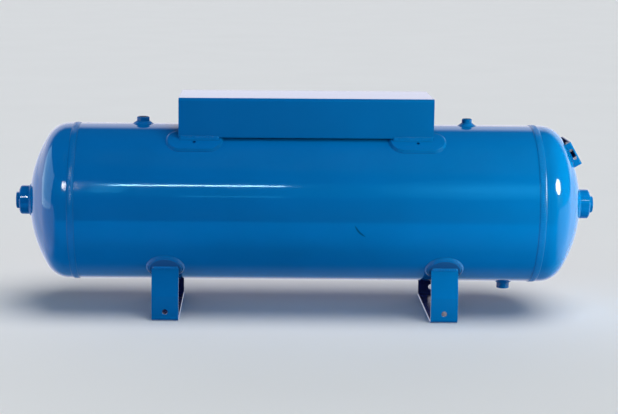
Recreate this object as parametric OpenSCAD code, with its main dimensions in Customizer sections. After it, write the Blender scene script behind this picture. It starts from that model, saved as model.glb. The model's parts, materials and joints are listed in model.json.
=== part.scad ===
// Horizontal air receiver: a rolled shell between two dished heads, with pipe
// sockets, a channel platform on top and two bent strap feet below.
// Millimetres. +X runs along the tank, -Y is the front, Z = 0 is the floor.

/* [Vessel] */
// Outside diameter of the shell and heads
tank_od = 406.4; // [390:0.4:430]
// Wall of the shell and heads
wall = 4; // [3:0.5:6]
// Distance between the middles of the two girth welds
weld_span = 1182; // [1140:2:1400]
// Straight flange of each head, from the weld to the start of the knuckle
head_flange = 20; // [12:1:40]
// Crown radius of the dished heads, outside
crown_r = 325; // [300:1:400]
// Knuckle radius of the dished heads, outside
knuckle_r = 62.6; // [45:0.2:75]
// Height of the tank's axis above the floor
axis_height = 284.4; // [276:0.2:320]

/* [Girth welds] */
// Width of the cap bead of a girth weld
girth_bead_w = 18; // [12:0.5:24]
// Height of the cap bead above the plate
girth_bead_h = 1.8; // [1:0.2:4]
// Root gap between the shell and the head
root_gap = 3; // [1:0.5:5]

/* [End sockets] */
// Outside diameter of the pipe socket in each head
end_socket_od = 76; // [66:1:90]
// Thread hole of the end socket
end_socket_bore = 57; // [48:0.5:60]
// How far the socket stands out of the head's crown
end_socket_out = 28; // [16:1:40]
// How far the socket reaches inside the head's crown
end_socket_in = 16; // [10:1:24]
// Chamfer round the socket's outer edge
end_socket_chamfer = 3.5; // [1:0.5:4]
// Width and height of the fillet weld round the socket
end_weld = 6; // [4:0.5:9]
// Distance across the flats of the plug's hexagon
plug_flats = 42; // [30:1:46]
// Height of the plug's hexagon above the socket
plug_head_h = 9.5; // [5:0.5:16]
// Length of the plug's round body inside the socket
plug_shank = 26; // [16:1:30]

/* [Top and bottom ports] */
// Distance of each top port from the nearer girth weld
port_inset = 171; // [60:1:200]
// Distance of the drain port from the right girth weld
drain_inset = 64; // [46:1:170]
// Outside diameter of the left top port and of the drain
large_port_od = 33; // [29:0.5:40]
// Thread hole of the left top port and of the drain
large_port_bore = 24.2; // [18:0.2:26]
// Outside diameter of the right top port
small_port_od = 26; // [24:0.5:32]
// Thread hole of the right top port
small_port_bore = 18.6; // [12:0.2:19]
// Height of the top ports above the shell
top_port_out = 18; // [12:0.5:30]
// Length of the drain below the shell
drain_out = 22; // [14:0.5:30]
// How far each port reaches inside the shell
port_in = 8; // [6:0.5:14]
// Rounded edge at the mouth of each port
port_edge_r = 2; // [0.5:0.5:2]
// Width of the fillet weld round each port
port_weld_w = 11; // [6:0.5:14]
// Height of the fillet weld round each port
port_weld_h = 8; // [3:0.5:9]

/* [Platform] */
// Length of the platform along the tank
platform_len = 647; // [580:1:720]
// Outside width of the platform
platform_w = 220; // [180:1:260]
// Height of the platform's top above the shell
platform_rise = 78; // [50:1:110]
// Plate thickness of the platform
platform_t = 5; // [4:0.5:7]
// Outside radius of the platform's two long bends
platform_bend_r = 8; // [7.5:0.5:14]
// Width and height of the weld along each edge of the platform
platform_weld = 6; // [4:0.5:8]

/* [Doubler pads] */
// Thickness of all pads on the shell
pad_t = 6; // [4:0.5:9]
// Distance of each platform pad's middle from the middle of the tank
platform_pad_x = 283; // [200:1:285]
// Length of a platform pad along the tank
platform_pad_len = 138; // [100:1:160]
// Width of a platform pad round the shell
platform_pad_w = 74; // [70:1:90]
// Corner radius of a platform pad
platform_pad_r = 34; // [10:1:35]
// Diameter of the tell-tale hole in each platform pad
telltale_d = 8; // [4:0.5:10]
// Distance of the tell-tale hole below the platform's edge
telltale_drop = 12; // [8:0.5:22]
// Diameter of the round pad above each leg of a foot
foot_pad_d = 89; // [84:1:120]

/* [Feet] */
// Distance of each foot's middle from the nearer girth weld
foot_inset = 235.5; // [120:0.5:300]
// Width of the strap that a foot is bent from
strap_w = 69; // [50:1:80]
// Thickness of the strap
strap_t = 6; // [4:0.5:8]
// Depth of a foot from front to back, over the strap
foot_depth = 329; // [310:1:370]
// Inside radius of the strap's bends
strap_bend_r = 5; // [3:0.5:8]
// Height of the upright part of a leg, from the floor to the crease
leg_upright = 64; // [48:1:74]
// Lean of the upper part of a leg towards the shell
leg_lean = 12.5; // [5:0.5:18]
// Diameter of the anchor hole in each leg
anchor_hole_d = 14; // [8:0.5:18]
// Height of the anchor holes above the floor
anchor_hole_z = 24; // [23:0.5:36]
// Length of each face of the weld at the top of a leg
leg_weld = 8; // [5:0.5:12]

/* [Nameplate bracket] */
// Width of the bracket from front to back
bracket_w = 114; // [80:1:130]
// Height of the bracket's face along the head
bracket_len = 64; // [40:1:80]
// Plate thickness of the bracket
bracket_t = 3; // [2:0.5:3.5]
// Outside radius of the bracket's two bends
bracket_bend_r = 5; // [4:0.5:6]
// Distance of the middle of the bracket's face below the top of the shell
bracket_drop = 61; // [55:1:80]
// Extra lean of the bracket's face against the head
bracket_lean = 4.5; // [0:0.5:6]
// Height of the bracket's face above the head
bracket_rise = 13; // [12:0.5:24]
// Length of the slot in each side of the bracket
bracket_slot_len = 30; // [16:1:36]
// Width of the slot in each side of the bracket
bracket_slot_w = 9; // [5:0.5:9]

/* [Hidden] */
// Names of the separate pieces
// The piece that is drawn, or all of them

// Smoothness of round shapes
$fn = 96;
// Gap left between curved faces that touch
seat = 0.1;
// Extra reach of a cutting shape past the face it cuts
over = 1;
// Hollow of a fillet weld's face: distance of its arc's centre, as a share of its chord
weld_hollow = 0.9;
// Distance by which the welds of the platform and legs stop short of the ends of their seats
weld_stop = 2;

// Radius of the shell
tank_r = tank_od / 2;
// Distance of each girth weld from the middle of the tank
weld_x = weld_span / 2;
// Distance of each top port from the middle of the tank
port_x = weld_x - port_inset;
// Distance of the drain port from the middle of the tank
drain_x = weld_x - drain_inset;
// Distance of each foot's middle from the middle of the tank
foot_x = weld_x - foot_inset;
// Start of each head's curve
tangent_x = weld_x + head_flange;
// Distance of the crown's centre behind the start of the head's curve
crown_back = sqrt(pow(crown_r - knuckle_r, 2) - pow(tank_r - knuckle_r, 2));
// Place of the crown's centre along the tank
crown_x = tangent_x - crown_back;
// Place of the crown's outermost point
pole_x = crown_x + crown_r;
// Angle of the joint between crown and knuckle, from the axis
joint_angle = asin((tank_r - knuckle_r) / (crown_r - knuckle_r));
// Angle by which the knuckle is drawn over the crown at their joint
joint_overlap = 2;
// Place of the end socket's outer face
end_face_x = pole_x + end_socket_out;
// Angle of the bracket's middle above the tank's axis, from the crown's centre
bracket_angle = asin((tank_r - bracket_drop) / (crown_r + bracket_rise));
// Radius of the surface that the legs and the platform stand on
pad_top_r = tank_r + pad_t;
// Height of the platform's top above the axis
platform_top = tank_r + platform_rise;
// Height of the platform's lower edges above the axis
platform_foot = sqrt(pow(pad_top_r + seat, 2) - pow(platform_w / 2 - platform_t, 2));
// Angle of the platform's edge round the shell, from the top
platform_edge_angle = asin(platform_w / 2 / pad_top_r);
// Angle of a tell-tale hole round the shell, from the top
telltale_angle = platform_edge_angle + telltale_drop / tank_r * 180 / PI;
// Height at which the straight legs begin above the strap's lower bends
leg_start = 1.5 * (strap_bend_r + strap_t);
// Length that the leaning part of a leg is drawn with, before it is cut to the pad
leg_reach = (axis_height - leg_upright) / 2;
// Angle round the shell, from the top, of the middle of each round pad
foot_pad_angle = 137.4;
// Crease of the front legs at their outer face, from the tank's axis
leg_crease = [-foot_depth / 2, leg_upright - axis_height];
// Direction in which the leaning part of a front leg runs up
leg_rise = [sin(leg_lean), cos(leg_lean)];
// Distance of the crease below the spot where the outer face meets the pad
leg_face = -leg_crease * leg_rise
    - sqrt(pow(leg_crease * leg_rise, 2) - leg_crease * leg_crease + pow(pad_top_r, 2));
// Spot where the outer face of a front leg meets its pad, from the tank's axis
leg_top = leg_crease + leg_face * leg_rise;
// Paint colour
paint = [0.0, 0.37, 0.64];
// Paint colour of the pads, straps and platform
plate_paint = [0.0, 0.4, 0.68];
// Paint colour of the welds
weld_paint = [0.05, 0.42, 0.7];

// Puts a shape that is drawn about the origin on the tank's axis.
module on_axis() {
    translate([0, 0, axis_height])
        children();
}

// Draws a shape as it stands at the right, or mirrored to the left.
module at_end(sign) {
    mirror([sign < 0 ? 1 : 0, 0, 0])
        children();
}

// Draws a shape as it stands at the front, or mirrored to the rear.
module at_face(sign) {
    mirror([0, sign > 0 ? 1 : 0, 0])
        children();
}

// A solid round bar along the tank's axis.
module bar_x(radius, length) {
    rotate([0, 90, 0])
        cylinder(r = radius, h = length, center = true, $fn = 720);
}

// Flat outline of a head: radius across, distance from the curve's start upwards.
// Inset draws the inner surface, and below is the length of its straight flange.
module head_outline(inset, below) {
    corner = tank_r - knuckle_r;
    reach = crown_r;
    start_angle = joint_angle - joint_overlap;
    // crown, as far as the joint line
    intersection() {
        translate([0, -crown_back])
            circle(r = crown_r - inset, $fn = 360);
        polygon([[0, 0], [corner, 0],
            [corner + reach * sin(joint_angle), reach * cos(joint_angle)], [0, reach]]);
    }
    // knuckle, from just before the joint line
    intersection() {
        translate([corner, 0])
            circle(r = knuckle_r - inset, $fn = 180);
        polygon([[corner, 0], [corner + reach * sin(start_angle), reach * cos(start_angle)],
            [corner + reach, reach], [corner + reach, 0]]);
    }
    // straight flange
    translate([0, -below])
        square([tank_r - inset, below]);
}

// Rolled shell with its three port holes.
module shell() {
    color(paint)
    on_axis()
    difference() {
        bar_x(tank_r, weld_span - root_gap);
        bar_x(tank_r - wall, weld_span);
        port_hole(-port_x, large_port_od);
        port_hole(port_x, small_port_od);
        mirror([0, 0, 1])
            port_hole(drain_x, large_port_od);
    }
}

// Hole for a port in the top of the shell.
module port_hole(x, od) {
    translate([x, 0, tank_r / 2])
        cylinder(d = od + 2 * seat, h = tank_r);
}

// Dished head with the hole for its end socket.
module head() {
    straight = head_flange - root_gap / 2;
    difference() {
        translate([tangent_x, 0, 0])
        rotate([0, 90, 0])
        rotate_extrude($fn = 180)
        difference() {
            head_outline(0, straight);
            head_outline(wall, straight + over);
        }
        translate([pole_x, 0, 0])
            bar_x(end_socket_od / 2 + seat, 4 * end_socket_in);
    }
}

module left_head() { color(paint) on_axis() at_end(-1) head(); }
module right_head() { color(paint) on_axis() at_end(1) head(); }

// Girth weld: a low rounded cap outside and a root between the plates.
module girth_weld() {
    cap_r = (pow(girth_bead_w / 2, 2) + pow(girth_bead_h, 2)) / (2 * girth_bead_h);
    translate([weld_x, 0, 0])
    rotate([0, 90, 0])
    rotate_extrude($fn = 180) {
        intersection() {
            translate([tank_r + girth_bead_h - cap_r, 0])
                circle(r = cap_r);
            translate([tank_r + seat, -girth_bead_w])
                square([2 * girth_bead_h, 2 * girth_bead_w]);
        }
        translate([tank_r - wall, -root_gap / 2])
            square([wall + girth_bead_h / 2, root_gap]);
    }
}

module left_girth_weld() { color(weld_paint) on_axis() at_end(-1) girth_weld(); }
module right_girth_weld() { color(weld_paint) on_axis() at_end(1) girth_weld(); }

// Pipe socket of a head, with chamfered edges and its thread hole.
module end_socket() {
    r = end_socket_od / 2;
    c = end_socket_chamfer;
    length = end_socket_in + end_socket_out;
    translate([end_face_x - length, 0, 0])
    rotate([0, 90, 0])
    rotate_extrude()
    polygon([[end_socket_bore / 2, 0], [r, 0], [r, length - c], [r - c, length],
        [end_socket_bore / 2, length]]);
}

module left_end_socket() { color(paint) on_axis() at_end(-1) end_socket(); }
module right_end_socket() { color(paint) on_axis() at_end(1) end_socket(); }

// Plug of an end socket: a round body and a chamfered hexagon.
module end_plug() {
    corner_d = plug_flats / cos(30);
    bevel = (corner_d - plug_flats) / 2;
    translate([end_face_x - over, 0, 0])
    rotate([0, 90, 0]) {
        translate([0, 0, over - plug_shank])
            cylinder(d = end_socket_bore - 2 * seat, h = plug_shank - over);
        intersection() {
            translate([0, 0, -over])
                cylinder(d = corner_d, h = plug_head_h + 2 * over, $fn = 6);
            union() {
                translate([0, 0, -over])
                    cylinder(d = corner_d + over, h = plug_head_h + 2 * over - bevel);
                translate([0, 0, plug_head_h + over - bevel])
                    cylinder(d1 = corner_d, d2 = plug_flats, h = bevel);
            }
        }
    }
}

module left_end_plug() { color(plate_paint) on_axis() at_end(-1) end_plug(); }
module right_end_plug() { color(plate_paint) on_axis() at_end(1) end_plug(); }

// Section of a hollow fillet weld beside a pipe, standing on level zero and
// reaching down by drop, where the plate that it stands on falls away.
module fillet_section(pipe_od, w, h, drop) {
    foot = w * (1 + drop / h);
    rise = h + drop;
    chord = norm([foot, rise]);
    away = weld_hollow * chord;
    translate([pipe_od / 2 + seat, -drop])
    difference() {
        polygon([[0, 0], [foot, 0], [0, rise]]);
        translate([foot / 2 + away * rise / chord, rise / 2 + away * foot / chord])
            circle(r = norm([away, chord / 2]), $fn = 720);
    }
}

// Weld that joins an end socket to the crown of its head.
module end_weld_ring() {
    foot_r = end_socket_od / 2 + 2 * end_weld;
    drop = crown_r - sqrt(pow(crown_r, 2) - pow(foot_r, 2));
    translate([tangent_x, 0, 0])
    rotate([0, 90, 0])
    rotate_extrude($fn = 360)
    difference() {
        translate([0, pole_x - tangent_x])
            fillet_section(end_socket_od, end_weld, end_weld, drop);
        translate([0, -crown_back])
            circle(r = crown_r + seat, $fn = 1440);
    }
}

module left_end_weld() { color(weld_paint) on_axis() at_end(-1) end_weld_ring(); }
module right_end_weld() { color(weld_paint) on_axis() at_end(1) end_weld_ring(); }

// Threaded port with a rounded mouth, standing on level zero.
module port(od, bore, out) {
    difference() {
        rotate_extrude() {
            translate([0, -port_in])
                square([od / 2, port_in + out - port_edge_r]);
            translate([0, -port_in])
                square([od / 2 - port_edge_r, port_in + out]);
            translate([od / 2 - port_edge_r, out - port_edge_r])
                circle(r = port_edge_r, $fn = 32);
        }
        translate([0, 0, -port_in - over])
            cylinder(d = bore, h = port_in + out + 2 * over);
    }
}

// Fillet weld round a port, cut to the shell's curve.
module port_weld(od) {
    foot_r = od / 2 + 2 * port_weld_w;
    drop = tank_r - sqrt(pow(tank_r, 2) - pow(foot_r, 2));
    difference() {
        translate([0, 0, tank_r])
        rotate_extrude($fn = 360)
            fillet_section(od, port_weld_w, port_weld_h, drop);
        bar_x(tank_r + seat, 4 * foot_r);
    }
}

module left_top_port() {
    color(paint) on_axis()
    translate([-port_x, 0, tank_r])
        port(large_port_od, large_port_bore, top_port_out);
}

module right_top_port() {
    color(paint) on_axis()
    translate([port_x, 0, tank_r])
        port(small_port_od, small_port_bore, top_port_out);
}

module drain_port() {
    color(paint) on_axis()
    mirror([0, 0, 1])
    translate([drain_x, 0, tank_r])
        port(large_port_od, large_port_bore, drain_out);
}

module left_port_weld() { color(weld_paint) on_axis() translate([-port_x, 0, 0]) port_weld(large_port_od); }
module right_port_weld() { color(weld_paint) on_axis() translate([port_x, 0, 0]) port_weld(small_port_od); }

module drain_weld() {
    color(weld_paint) on_axis()
    mirror([0, 0, 1])
    translate([drain_x, 0, 0])
        port_weld(large_port_od);
}

// Outline of a folded channel: flat top at level zero, legs pointing down.
module channel_outline(w, h, t, bend_r) {
    difference() {
        channel_block(w, h, bend_r);
        translate([0, -t])
            channel_block(w - 2 * t, h + over, bend_r - t);
    }
}

// Solid block with its two upper corners rounded, top at level zero.
module channel_block(w, h, corner_r) {
    translate([-w / 2, -h])
        square([w, h - corner_r]);
    translate([corner_r - w / 2, -h])
        square([w - 2 * corner_r, h]);
    for (s = [-1, 1])
        translate([s * (w / 2 - corner_r), -corner_r])
            circle(r = corner_r, $fn = 48);
}

// Folded platform, open at both ends, standing on the four platform pads.
module platform() {
    color(plate_paint) on_axis()
    translate([-platform_len / 2, 0, platform_top])
    rotate([90, 0, 90])
    linear_extrude(height = platform_len)
        channel_outline(platform_w, platform_top - platform_foot, platform_t, platform_bend_r);
}

// Pad rolled to the shell: the flat outline is laid at an angle from the top.
module rolled_pad(x, angle) {
    intersection() {
        difference() {
            bar_x(pad_top_r, weld_span);
            bar_x(tank_r + seat, weld_span + over);
        }
        translate([x, 0, 0])
        rotate([angle, 0, 0])
        linear_extrude(height = pad_top_r + over)
            children();
    }
}

// Rounded oblong outline of a platform pad.
module oblong(length, width, corner_r) {
    square([length - 2 * corner_r, width], center = true);
    square([length, width - 2 * corner_r], center = true);
    for (sx = [-1, 1], sy = [-1, 1])
        translate([sx * (length / 2 - corner_r), sy * (width / 2 - corner_r)])
            circle(r = corner_r, $fn = 48);
}

// Platform pad at the front right, with its tell-tale hole.
module platform_pad() {
    difference() {
        rolled_pad(platform_pad_x, platform_edge_angle)
            oblong(platform_pad_len, platform_pad_w, platform_pad_r);
        translate([platform_pad_x, 0, 0])
        rotate([telltale_angle, 0, 0])
            cylinder(d = telltale_d, h = pad_top_r + over);
    }
}

module front_left_platform_pad() { color(plate_paint) on_axis() at_end(-1) at_face(-1) platform_pad(); }
module front_right_platform_pad() { color(plate_paint) on_axis() at_end(1) at_face(-1) platform_pad(); }
module rear_left_platform_pad() { color(plate_paint) on_axis() at_end(-1) at_face(1) platform_pad(); }
module rear_right_platform_pad() { color(plate_paint) on_axis() at_end(1) at_face(1) platform_pad(); }

// Weld along the platform's front edge on its right pad: it fills the gap under
// the edge and climbs the outer face.
module platform_weld_bead() {
    edge = platform_w / 2;
    outer = edge + platform_weld;
    root = edge - platform_t / 2;
    low = sqrt(pow(pad_top_r, 2) - pow(outer, 2));
    start = platform_pad_x - platform_pad_len / 2 + weld_stop;
    stop = min(platform_len / 2, platform_pad_x + platform_pad_len / 2) - weld_stop;
    difference() {
        translate([start, 0, 0])
        rotate([90, 0, 90])
        linear_extrude(height = stop - start)
            polygon([[-edge, platform_foot + platform_weld], [-outer, low], [-root, low],
                [-root, platform_foot], [-edge, platform_foot]]);
        bar_x(pad_top_r + seat, weld_span);
    }
}

module front_left_platform_weld() { color(weld_paint) on_axis() at_end(-1) at_face(-1) platform_weld_bead(); }
module front_right_platform_weld() { color(weld_paint) on_axis() at_end(1) at_face(-1) platform_weld_bead(); }
module rear_left_platform_weld() { color(weld_paint) on_axis() at_end(-1) at_face(1) platform_weld_bead(); }
module rear_right_platform_weld() { color(weld_paint) on_axis() at_end(1) at_face(1) platform_weld_bead(); }

// Round pad above the front leg of the right foot.
module foot_pad() {
    rolled_pad(foot_x, foot_pad_angle)
        circle(d = foot_pad_d);
}

module front_left_foot_pad() { color(plate_paint) on_axis() at_end(-1) at_face(-1) foot_pad(); }
module front_right_foot_pad() { color(plate_paint) on_axis() at_end(1) at_face(-1) foot_pad(); }
module rear_left_foot_pad() { color(plate_paint) on_axis() at_end(-1) at_face(1) foot_pad(); }
module rear_right_foot_pad() { color(plate_paint) on_axis() at_end(1) at_face(1) foot_pad(); }

// Side view of one leg of a foot: upright, then leaning inwards.
module leg_outline(sign) {
    outer = foot_depth / 2;
    inner = outer - strap_t;
    inner_crease = leg_upright - strap_t * tan(leg_lean / 2);
    tip = [outer - leg_reach * sin(leg_lean), leg_upright + leg_reach * cos(leg_lean)];
    corners = [[inner, leg_start], [outer, leg_start], [outer, leg_upright], tip,
        tip - strap_t * [cos(leg_lean), sin(leg_lean)], [inner, inner_crease]];
    last = len(corners) - 1;
    polygon([for (i = [0 : last])
        let (c = corners[sign > 0 ? i : last - i])
            [sign * c[0], c[1]]]);
}

// Side view of a foot: a rounded channel turned upwards, and its two legs.
module foot_outline() {
    mirror([0, 1])
        channel_outline(foot_depth, leg_start, strap_t, strap_bend_r + strap_t);
    leg_outline(-1);
    leg_outline(1);
}

// Foot bent from one strap, its leg ends cut to the curve of the pads.
module foot(x) {
    color(plate_paint)
    difference() {
        translate([x - strap_w / 2, 0, 0])
        rotate([90, 0, 90])
        linear_extrude(height = strap_w)
            foot_outline();
        translate([x, 0, axis_height])
            bar_x(pad_top_r + seat, 2 * strap_w);
        translate([x, 0, anchor_hole_z])
        rotate([90, 0, 0])
            cylinder(d = anchor_hole_d, h = foot_depth + 2 * over, center = true);
    }
}

module left_foot() { foot(-foot_x); }
module right_foot() { foot(foot_x); }

// Weld at the top of the front leg of the right foot, between its outer face and
// the pad.
module leg_weld_bead() {
    outward = leg_top / norm(leg_top);
    along_pad = [outward[1], -outward[0]];
    length = strap_w - 2 * weld_stop;
    difference() {
        translate([foot_x - length / 2, 0, 0])
        rotate([90, 0, 90])
        linear_extrude(height = length)
            polygon([leg_top + leg_weld * leg_rise, leg_top + leg_weld * along_pad,
                leg_top - leg_weld * leg_rise]);
        bar_x(pad_top_r + seat, weld_span);
    }
}

module front_left_leg_weld() { color(weld_paint) on_axis() at_end(-1) at_face(-1) leg_weld_bead(); }
module front_right_leg_weld() { color(weld_paint) on_axis() at_end(1) at_face(-1) leg_weld_bead(); }
module rear_left_leg_weld() { color(weld_paint) on_axis() at_end(-1) at_face(1) leg_weld_bead(); }
module rear_right_leg_weld() { color(weld_paint) on_axis() at_end(1) at_face(1) leg_weld_bead(); }

// Nameplate bracket: a shallow channel whose slotted sides stand on the right head.
module nameplate_bracket() {
    side_h = 2 * bracket_rise;
    color(plate_paint) on_axis()
    difference() {
        translate([crown_x, 0, 0])
        rotate([0, 90 - bracket_angle, 0])
        translate([0, 0, crown_r + bracket_rise])
        rotate([0, -bracket_lean, 0])
        difference() {
            translate([-bracket_len / 2, 0, 0])
            rotate([90, 0, 90])
            linear_extrude(height = bracket_len)
                channel_outline(bracket_w, side_h, bracket_t, bracket_bend_r);
            rotate([90, 0, 0])
            translate([0, -bracket_rise / 2 - bracket_t, 0])
            linear_extrude(height = bracket_w + 2 * over, center = true)
                oblong(bracket_slot_len, bracket_slot_w, bracket_slot_w / 2 - seat);
        }
        translate([crown_x, 0, 0])
            sphere(r = crown_r + seat, $fn = 360);
    }
}

shell();
left_head();
right_head();
left_girth_weld();
right_girth_weld();
left_end_socket();
right_end_socket();
left_end_plug();
right_end_plug();
left_end_weld();
right_end_weld();
left_top_port();
right_top_port();
drain_port();
left_port_weld();
right_port_weld();
drain_weld();
platform();
front_left_platform_pad();
front_right_platform_pad();
rear_left_platform_pad();
rear_right_platform_pad();
front_left_platform_weld();
front_right_platform_weld();
rear_left_platform_weld();
rear_right_platform_weld();
front_left_foot_pad();
front_right_foot_pad();
rear_left_foot_pad();
rear_right_foot_pad();
left_foot();
right_foot();
front_left_leg_weld();
front_right_leg_weld();
rear_left_leg_weld();
rear_right_leg_weld();
nameplate_bracket();
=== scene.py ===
import json
import logging
import math
from collections.abc import Callable, Sequence
from dataclasses import dataclass
from enum import Enum
from fnmatch import fnmatch
from functools import cached_property

import bmesh
import bpy
from mathutils import Matrix, Vector, noise

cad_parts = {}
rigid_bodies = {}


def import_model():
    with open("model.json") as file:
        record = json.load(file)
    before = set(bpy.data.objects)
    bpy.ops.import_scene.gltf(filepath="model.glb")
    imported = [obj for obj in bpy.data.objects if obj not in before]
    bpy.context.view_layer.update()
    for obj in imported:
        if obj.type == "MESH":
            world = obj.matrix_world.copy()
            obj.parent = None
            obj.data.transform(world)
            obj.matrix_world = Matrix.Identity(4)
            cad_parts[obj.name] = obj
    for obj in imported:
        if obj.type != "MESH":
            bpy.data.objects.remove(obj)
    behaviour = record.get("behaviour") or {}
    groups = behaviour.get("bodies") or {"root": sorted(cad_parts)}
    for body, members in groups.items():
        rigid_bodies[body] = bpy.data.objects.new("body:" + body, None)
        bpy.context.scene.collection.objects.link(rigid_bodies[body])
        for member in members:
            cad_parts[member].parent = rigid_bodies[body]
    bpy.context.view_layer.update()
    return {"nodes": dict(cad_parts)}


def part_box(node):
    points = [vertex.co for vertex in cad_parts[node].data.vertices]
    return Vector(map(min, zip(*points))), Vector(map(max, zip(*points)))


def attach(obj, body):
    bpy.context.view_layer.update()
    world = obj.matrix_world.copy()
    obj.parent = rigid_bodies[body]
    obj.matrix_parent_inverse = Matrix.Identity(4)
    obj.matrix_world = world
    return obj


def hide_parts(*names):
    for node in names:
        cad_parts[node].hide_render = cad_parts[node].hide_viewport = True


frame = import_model()

LOG = logging.getLogger("air_tank")
BODY = "root"
MM = 0.001
Colour = tuple[float, float, float]
Point = tuple[float, float, float]
Span = tuple[float, float]
Outline = list[tuple[float, float]]
Place = Callable[[float, float, float], Vector]
Socket = bpy.types.NodeSocket
Piece = bpy.types.Object


class Spoken(Enum):
    """A choice whose name is also a word of the node names."""

    @property
    def word(self) -> str:
        """The word for this choice in node names."""
        return self.name.lower()


class End(Spoken):
    """The end of the tank that a piece belongs to; the value is its sign along X."""

    LEFT = -1
    RIGHT = 1


class Face(Spoken):
    """The long side of the tank that a piece stands on; the value is its sign along Y."""

    FRONT = -1
    REAR = 1


class LampShape(Enum):
    """Outline of the face of a studio light."""

    BOX = "RECTANGLE"
    OVAL = "ELLIPSE"


class Reach(Enum):
    """Which pieces a studio light reaches; the value holds patterns of their names."""

    EVERYTHING = ()
    TANK = ("*",)
    BARREL = ("shell", "*_girth_bead")
    LEFT_END = ("shell", "left_head", "left_girth_bead")
    LEFT_HEAD = ("left_head",)
    RIGHT_END = ("right_head", "right_girth_bead")
    FITTINGS = ("*_end_coupling", "*_hexagon_plug")


class Ripple(Enum):
    """How closely the waves of a weld follow each other, in metres."""

    MEDIUM = 3.0 * MM
    COARSE = 4.2 * MM


@dataclass(frozen=True)
class Gauge:
    """Driving sizes of the vessel, in metres, that the other pieces are worked out from.

    Attributes:
        wall: Wall of the shell and heads.
        crown_r: Outside radius of the dished crown of a head.
        knuckle_r: Outside radius of the knuckle of a head.
        flange: Straight length of a head between its weld and its knuckle.
        pad_t: Thickness of every pad on the shell.
        seat: Gap left between curved faces that touch.
    """

    wall: float = 4.0 * MM
    crown_r: float = 325.0 * MM
    knuckle_r: float = 62.6 * MM
    flange: float = 20.0 * MM
    pad_t: float = 6.0 * MM
    seat: float = 0.1 * MM

    @cached_property
    def shell_r(self) -> float:
        """Outside radius of the shell, from the frame."""
        low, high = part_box("shell")
        return round((high.y - low.y) / 2, 4)

    @cached_property
    def axis_z(self) -> float:
        """Height of the tank's axis, from the frame."""
        low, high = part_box("left_girth_weld")
        return (low.z + high.z) / 2

    @cached_property
    def weld_x(self) -> float:
        """Distance of a girth weld from the middle of the tank, from the frame."""
        low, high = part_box("right_girth_weld")
        return (low.x + high.x) / 2

    @cached_property
    def pad_top_r(self) -> float:
        """Radius of the outer face of the pads."""
        return self.shell_r + self.pad_t

    @cached_property
    def crown_x(self) -> float:
        """Place of the crown's centre along the tank."""
        back = math.sqrt((self.crown_r - self.knuckle_r) ** 2 - (self.shell_r - self.knuckle_r) ** 2)
        return self.weld_x + self.flange - back

    def on_shell(self, x: float, angle: float, radius: float) -> Vector:
        """Finds a point by its place along the tank, its angle from top to front and its radius."""
        return Vector((x, -radius * math.sin(angle), self.axis_z + radius * math.cos(angle)))


GAUGE = Gauge()


class Graph:
    """A short way to write the node graph of one material or of the surroundings."""

    def __init__(self, owner: bpy.types.Material | bpy.types.World) -> None:
        """Starts with an empty graph.

        Args:
            owner: The new material or world.
        """
        self.owner = owner
        owner.use_nodes = True
        self.tree = owner.node_tree
        self.tree.nodes.clear()

    def feed(self, socket: Socket, value: object) -> None:
        """Gives an input its value.

        Args:
            socket: The input.
            value: A number or colour, which is set, or an output, which is linked.
        """
        if isinstance(value, Socket):
            self.tree.links.new(value, socket)
        else:
            socket.default_value = value

    def node(self, kind: str, values: dict[str, object] | None = None,
             **settings: object) -> bpy.types.Node:
        """Adds a node.

        Args:
            kind: Node type without its ShaderNode prefix.
            values: Input sockets by name: a number or colour is set, a socket is linked.
            settings: Properties of the node itself.

        Returns:
            The new node.
        """
        made = self.tree.nodes.new("ShaderNode" + kind)
        for name, value in settings.items():
            setattr(made, name, value)
        for name, value in (values or {}).items():
            self.feed(next(s for s in made.inputs if s.name == name and s.enabled), value)
        return made

    def noise(self, place: Socket, size: float, detail: float) -> Socket:
        """Lays lumps of a size in metres, with finer layers; the result runs from 0 to 1."""
        values = {"Vector": place, "Scale": 1 / size, "Detail": detail, "Roughness": 0.55}
        return self.node("TexNoise", values).outputs[0]

    def spread(self, value: Socket, low: float, high: float) -> Socket:
        """Maps the usual range of a noise to new limits."""
        values = {"Value": value, "From Min": 0.3, "From Max": 0.7, "To Min": low, "To Max": high}
        return self.node("MapRange", values).outputs[0]

    def step(self, value: Socket, start: float, stop: float) -> Socket:
        """Rises smoothly from 0 to 1 while a value goes from start to stop."""
        values = {"Value": value, "From Min": start, "From Max": stop}
        return self.node("MapRange", values, interpolation_type="SMOOTHSTEP").outputs[0]

    def math(self, work: str, *values: object) -> Socket:
        """Works out one number.

        Args:
            work: Name of the operation.
            values: Numbers or sockets, in order.

        Returns:
            The result.
        """
        made = self.node("Math", operation=work)
        for socket, value in zip(made.inputs, values):
            self.feed(socket, value)
        return made.outputs[0]

    def mix(self, factor: object, first: object, second: object) -> Socket:
        """Mixes two colours, each a value or a socket; the factor is the share of the second."""
        made = self.node("Mix", {"Factor": factor, "A": first, "B": second}, data_type="RGBA")
        return next(s for s in made.outputs if s.enabled)

    def bump(self, height: Socket, depth: float, below: Socket | None = None) -> Socket:
        """Adds relief.

        Args:
            height: Shape of the relief, from 0 to 1.
            depth: Its depth, in metres.
            below: Normal of the coarser relief that it lies on, if any.

        Returns:
            The normal of the relief.
        """
        values = {"Height": height, "Strength": 1.0, "Distance": depth}
        if below:
            values["Normal"] = below
        return self.node("Bump", values).outputs[0]

    def close(self, shader: bpy.types.Node) -> bpy.types.Material | bpy.types.World:
        """Links a shader to the output.

        Args:
            shader: The last shader node.

        Returns:
            The finished material or world.
        """
        out = self.node("OutputWorld" if isinstance(self.owner, bpy.types.World) else "OutputMaterial")
        self.tree.links.new(shader.outputs[0], out.inputs[0])
        return self.owner


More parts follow.
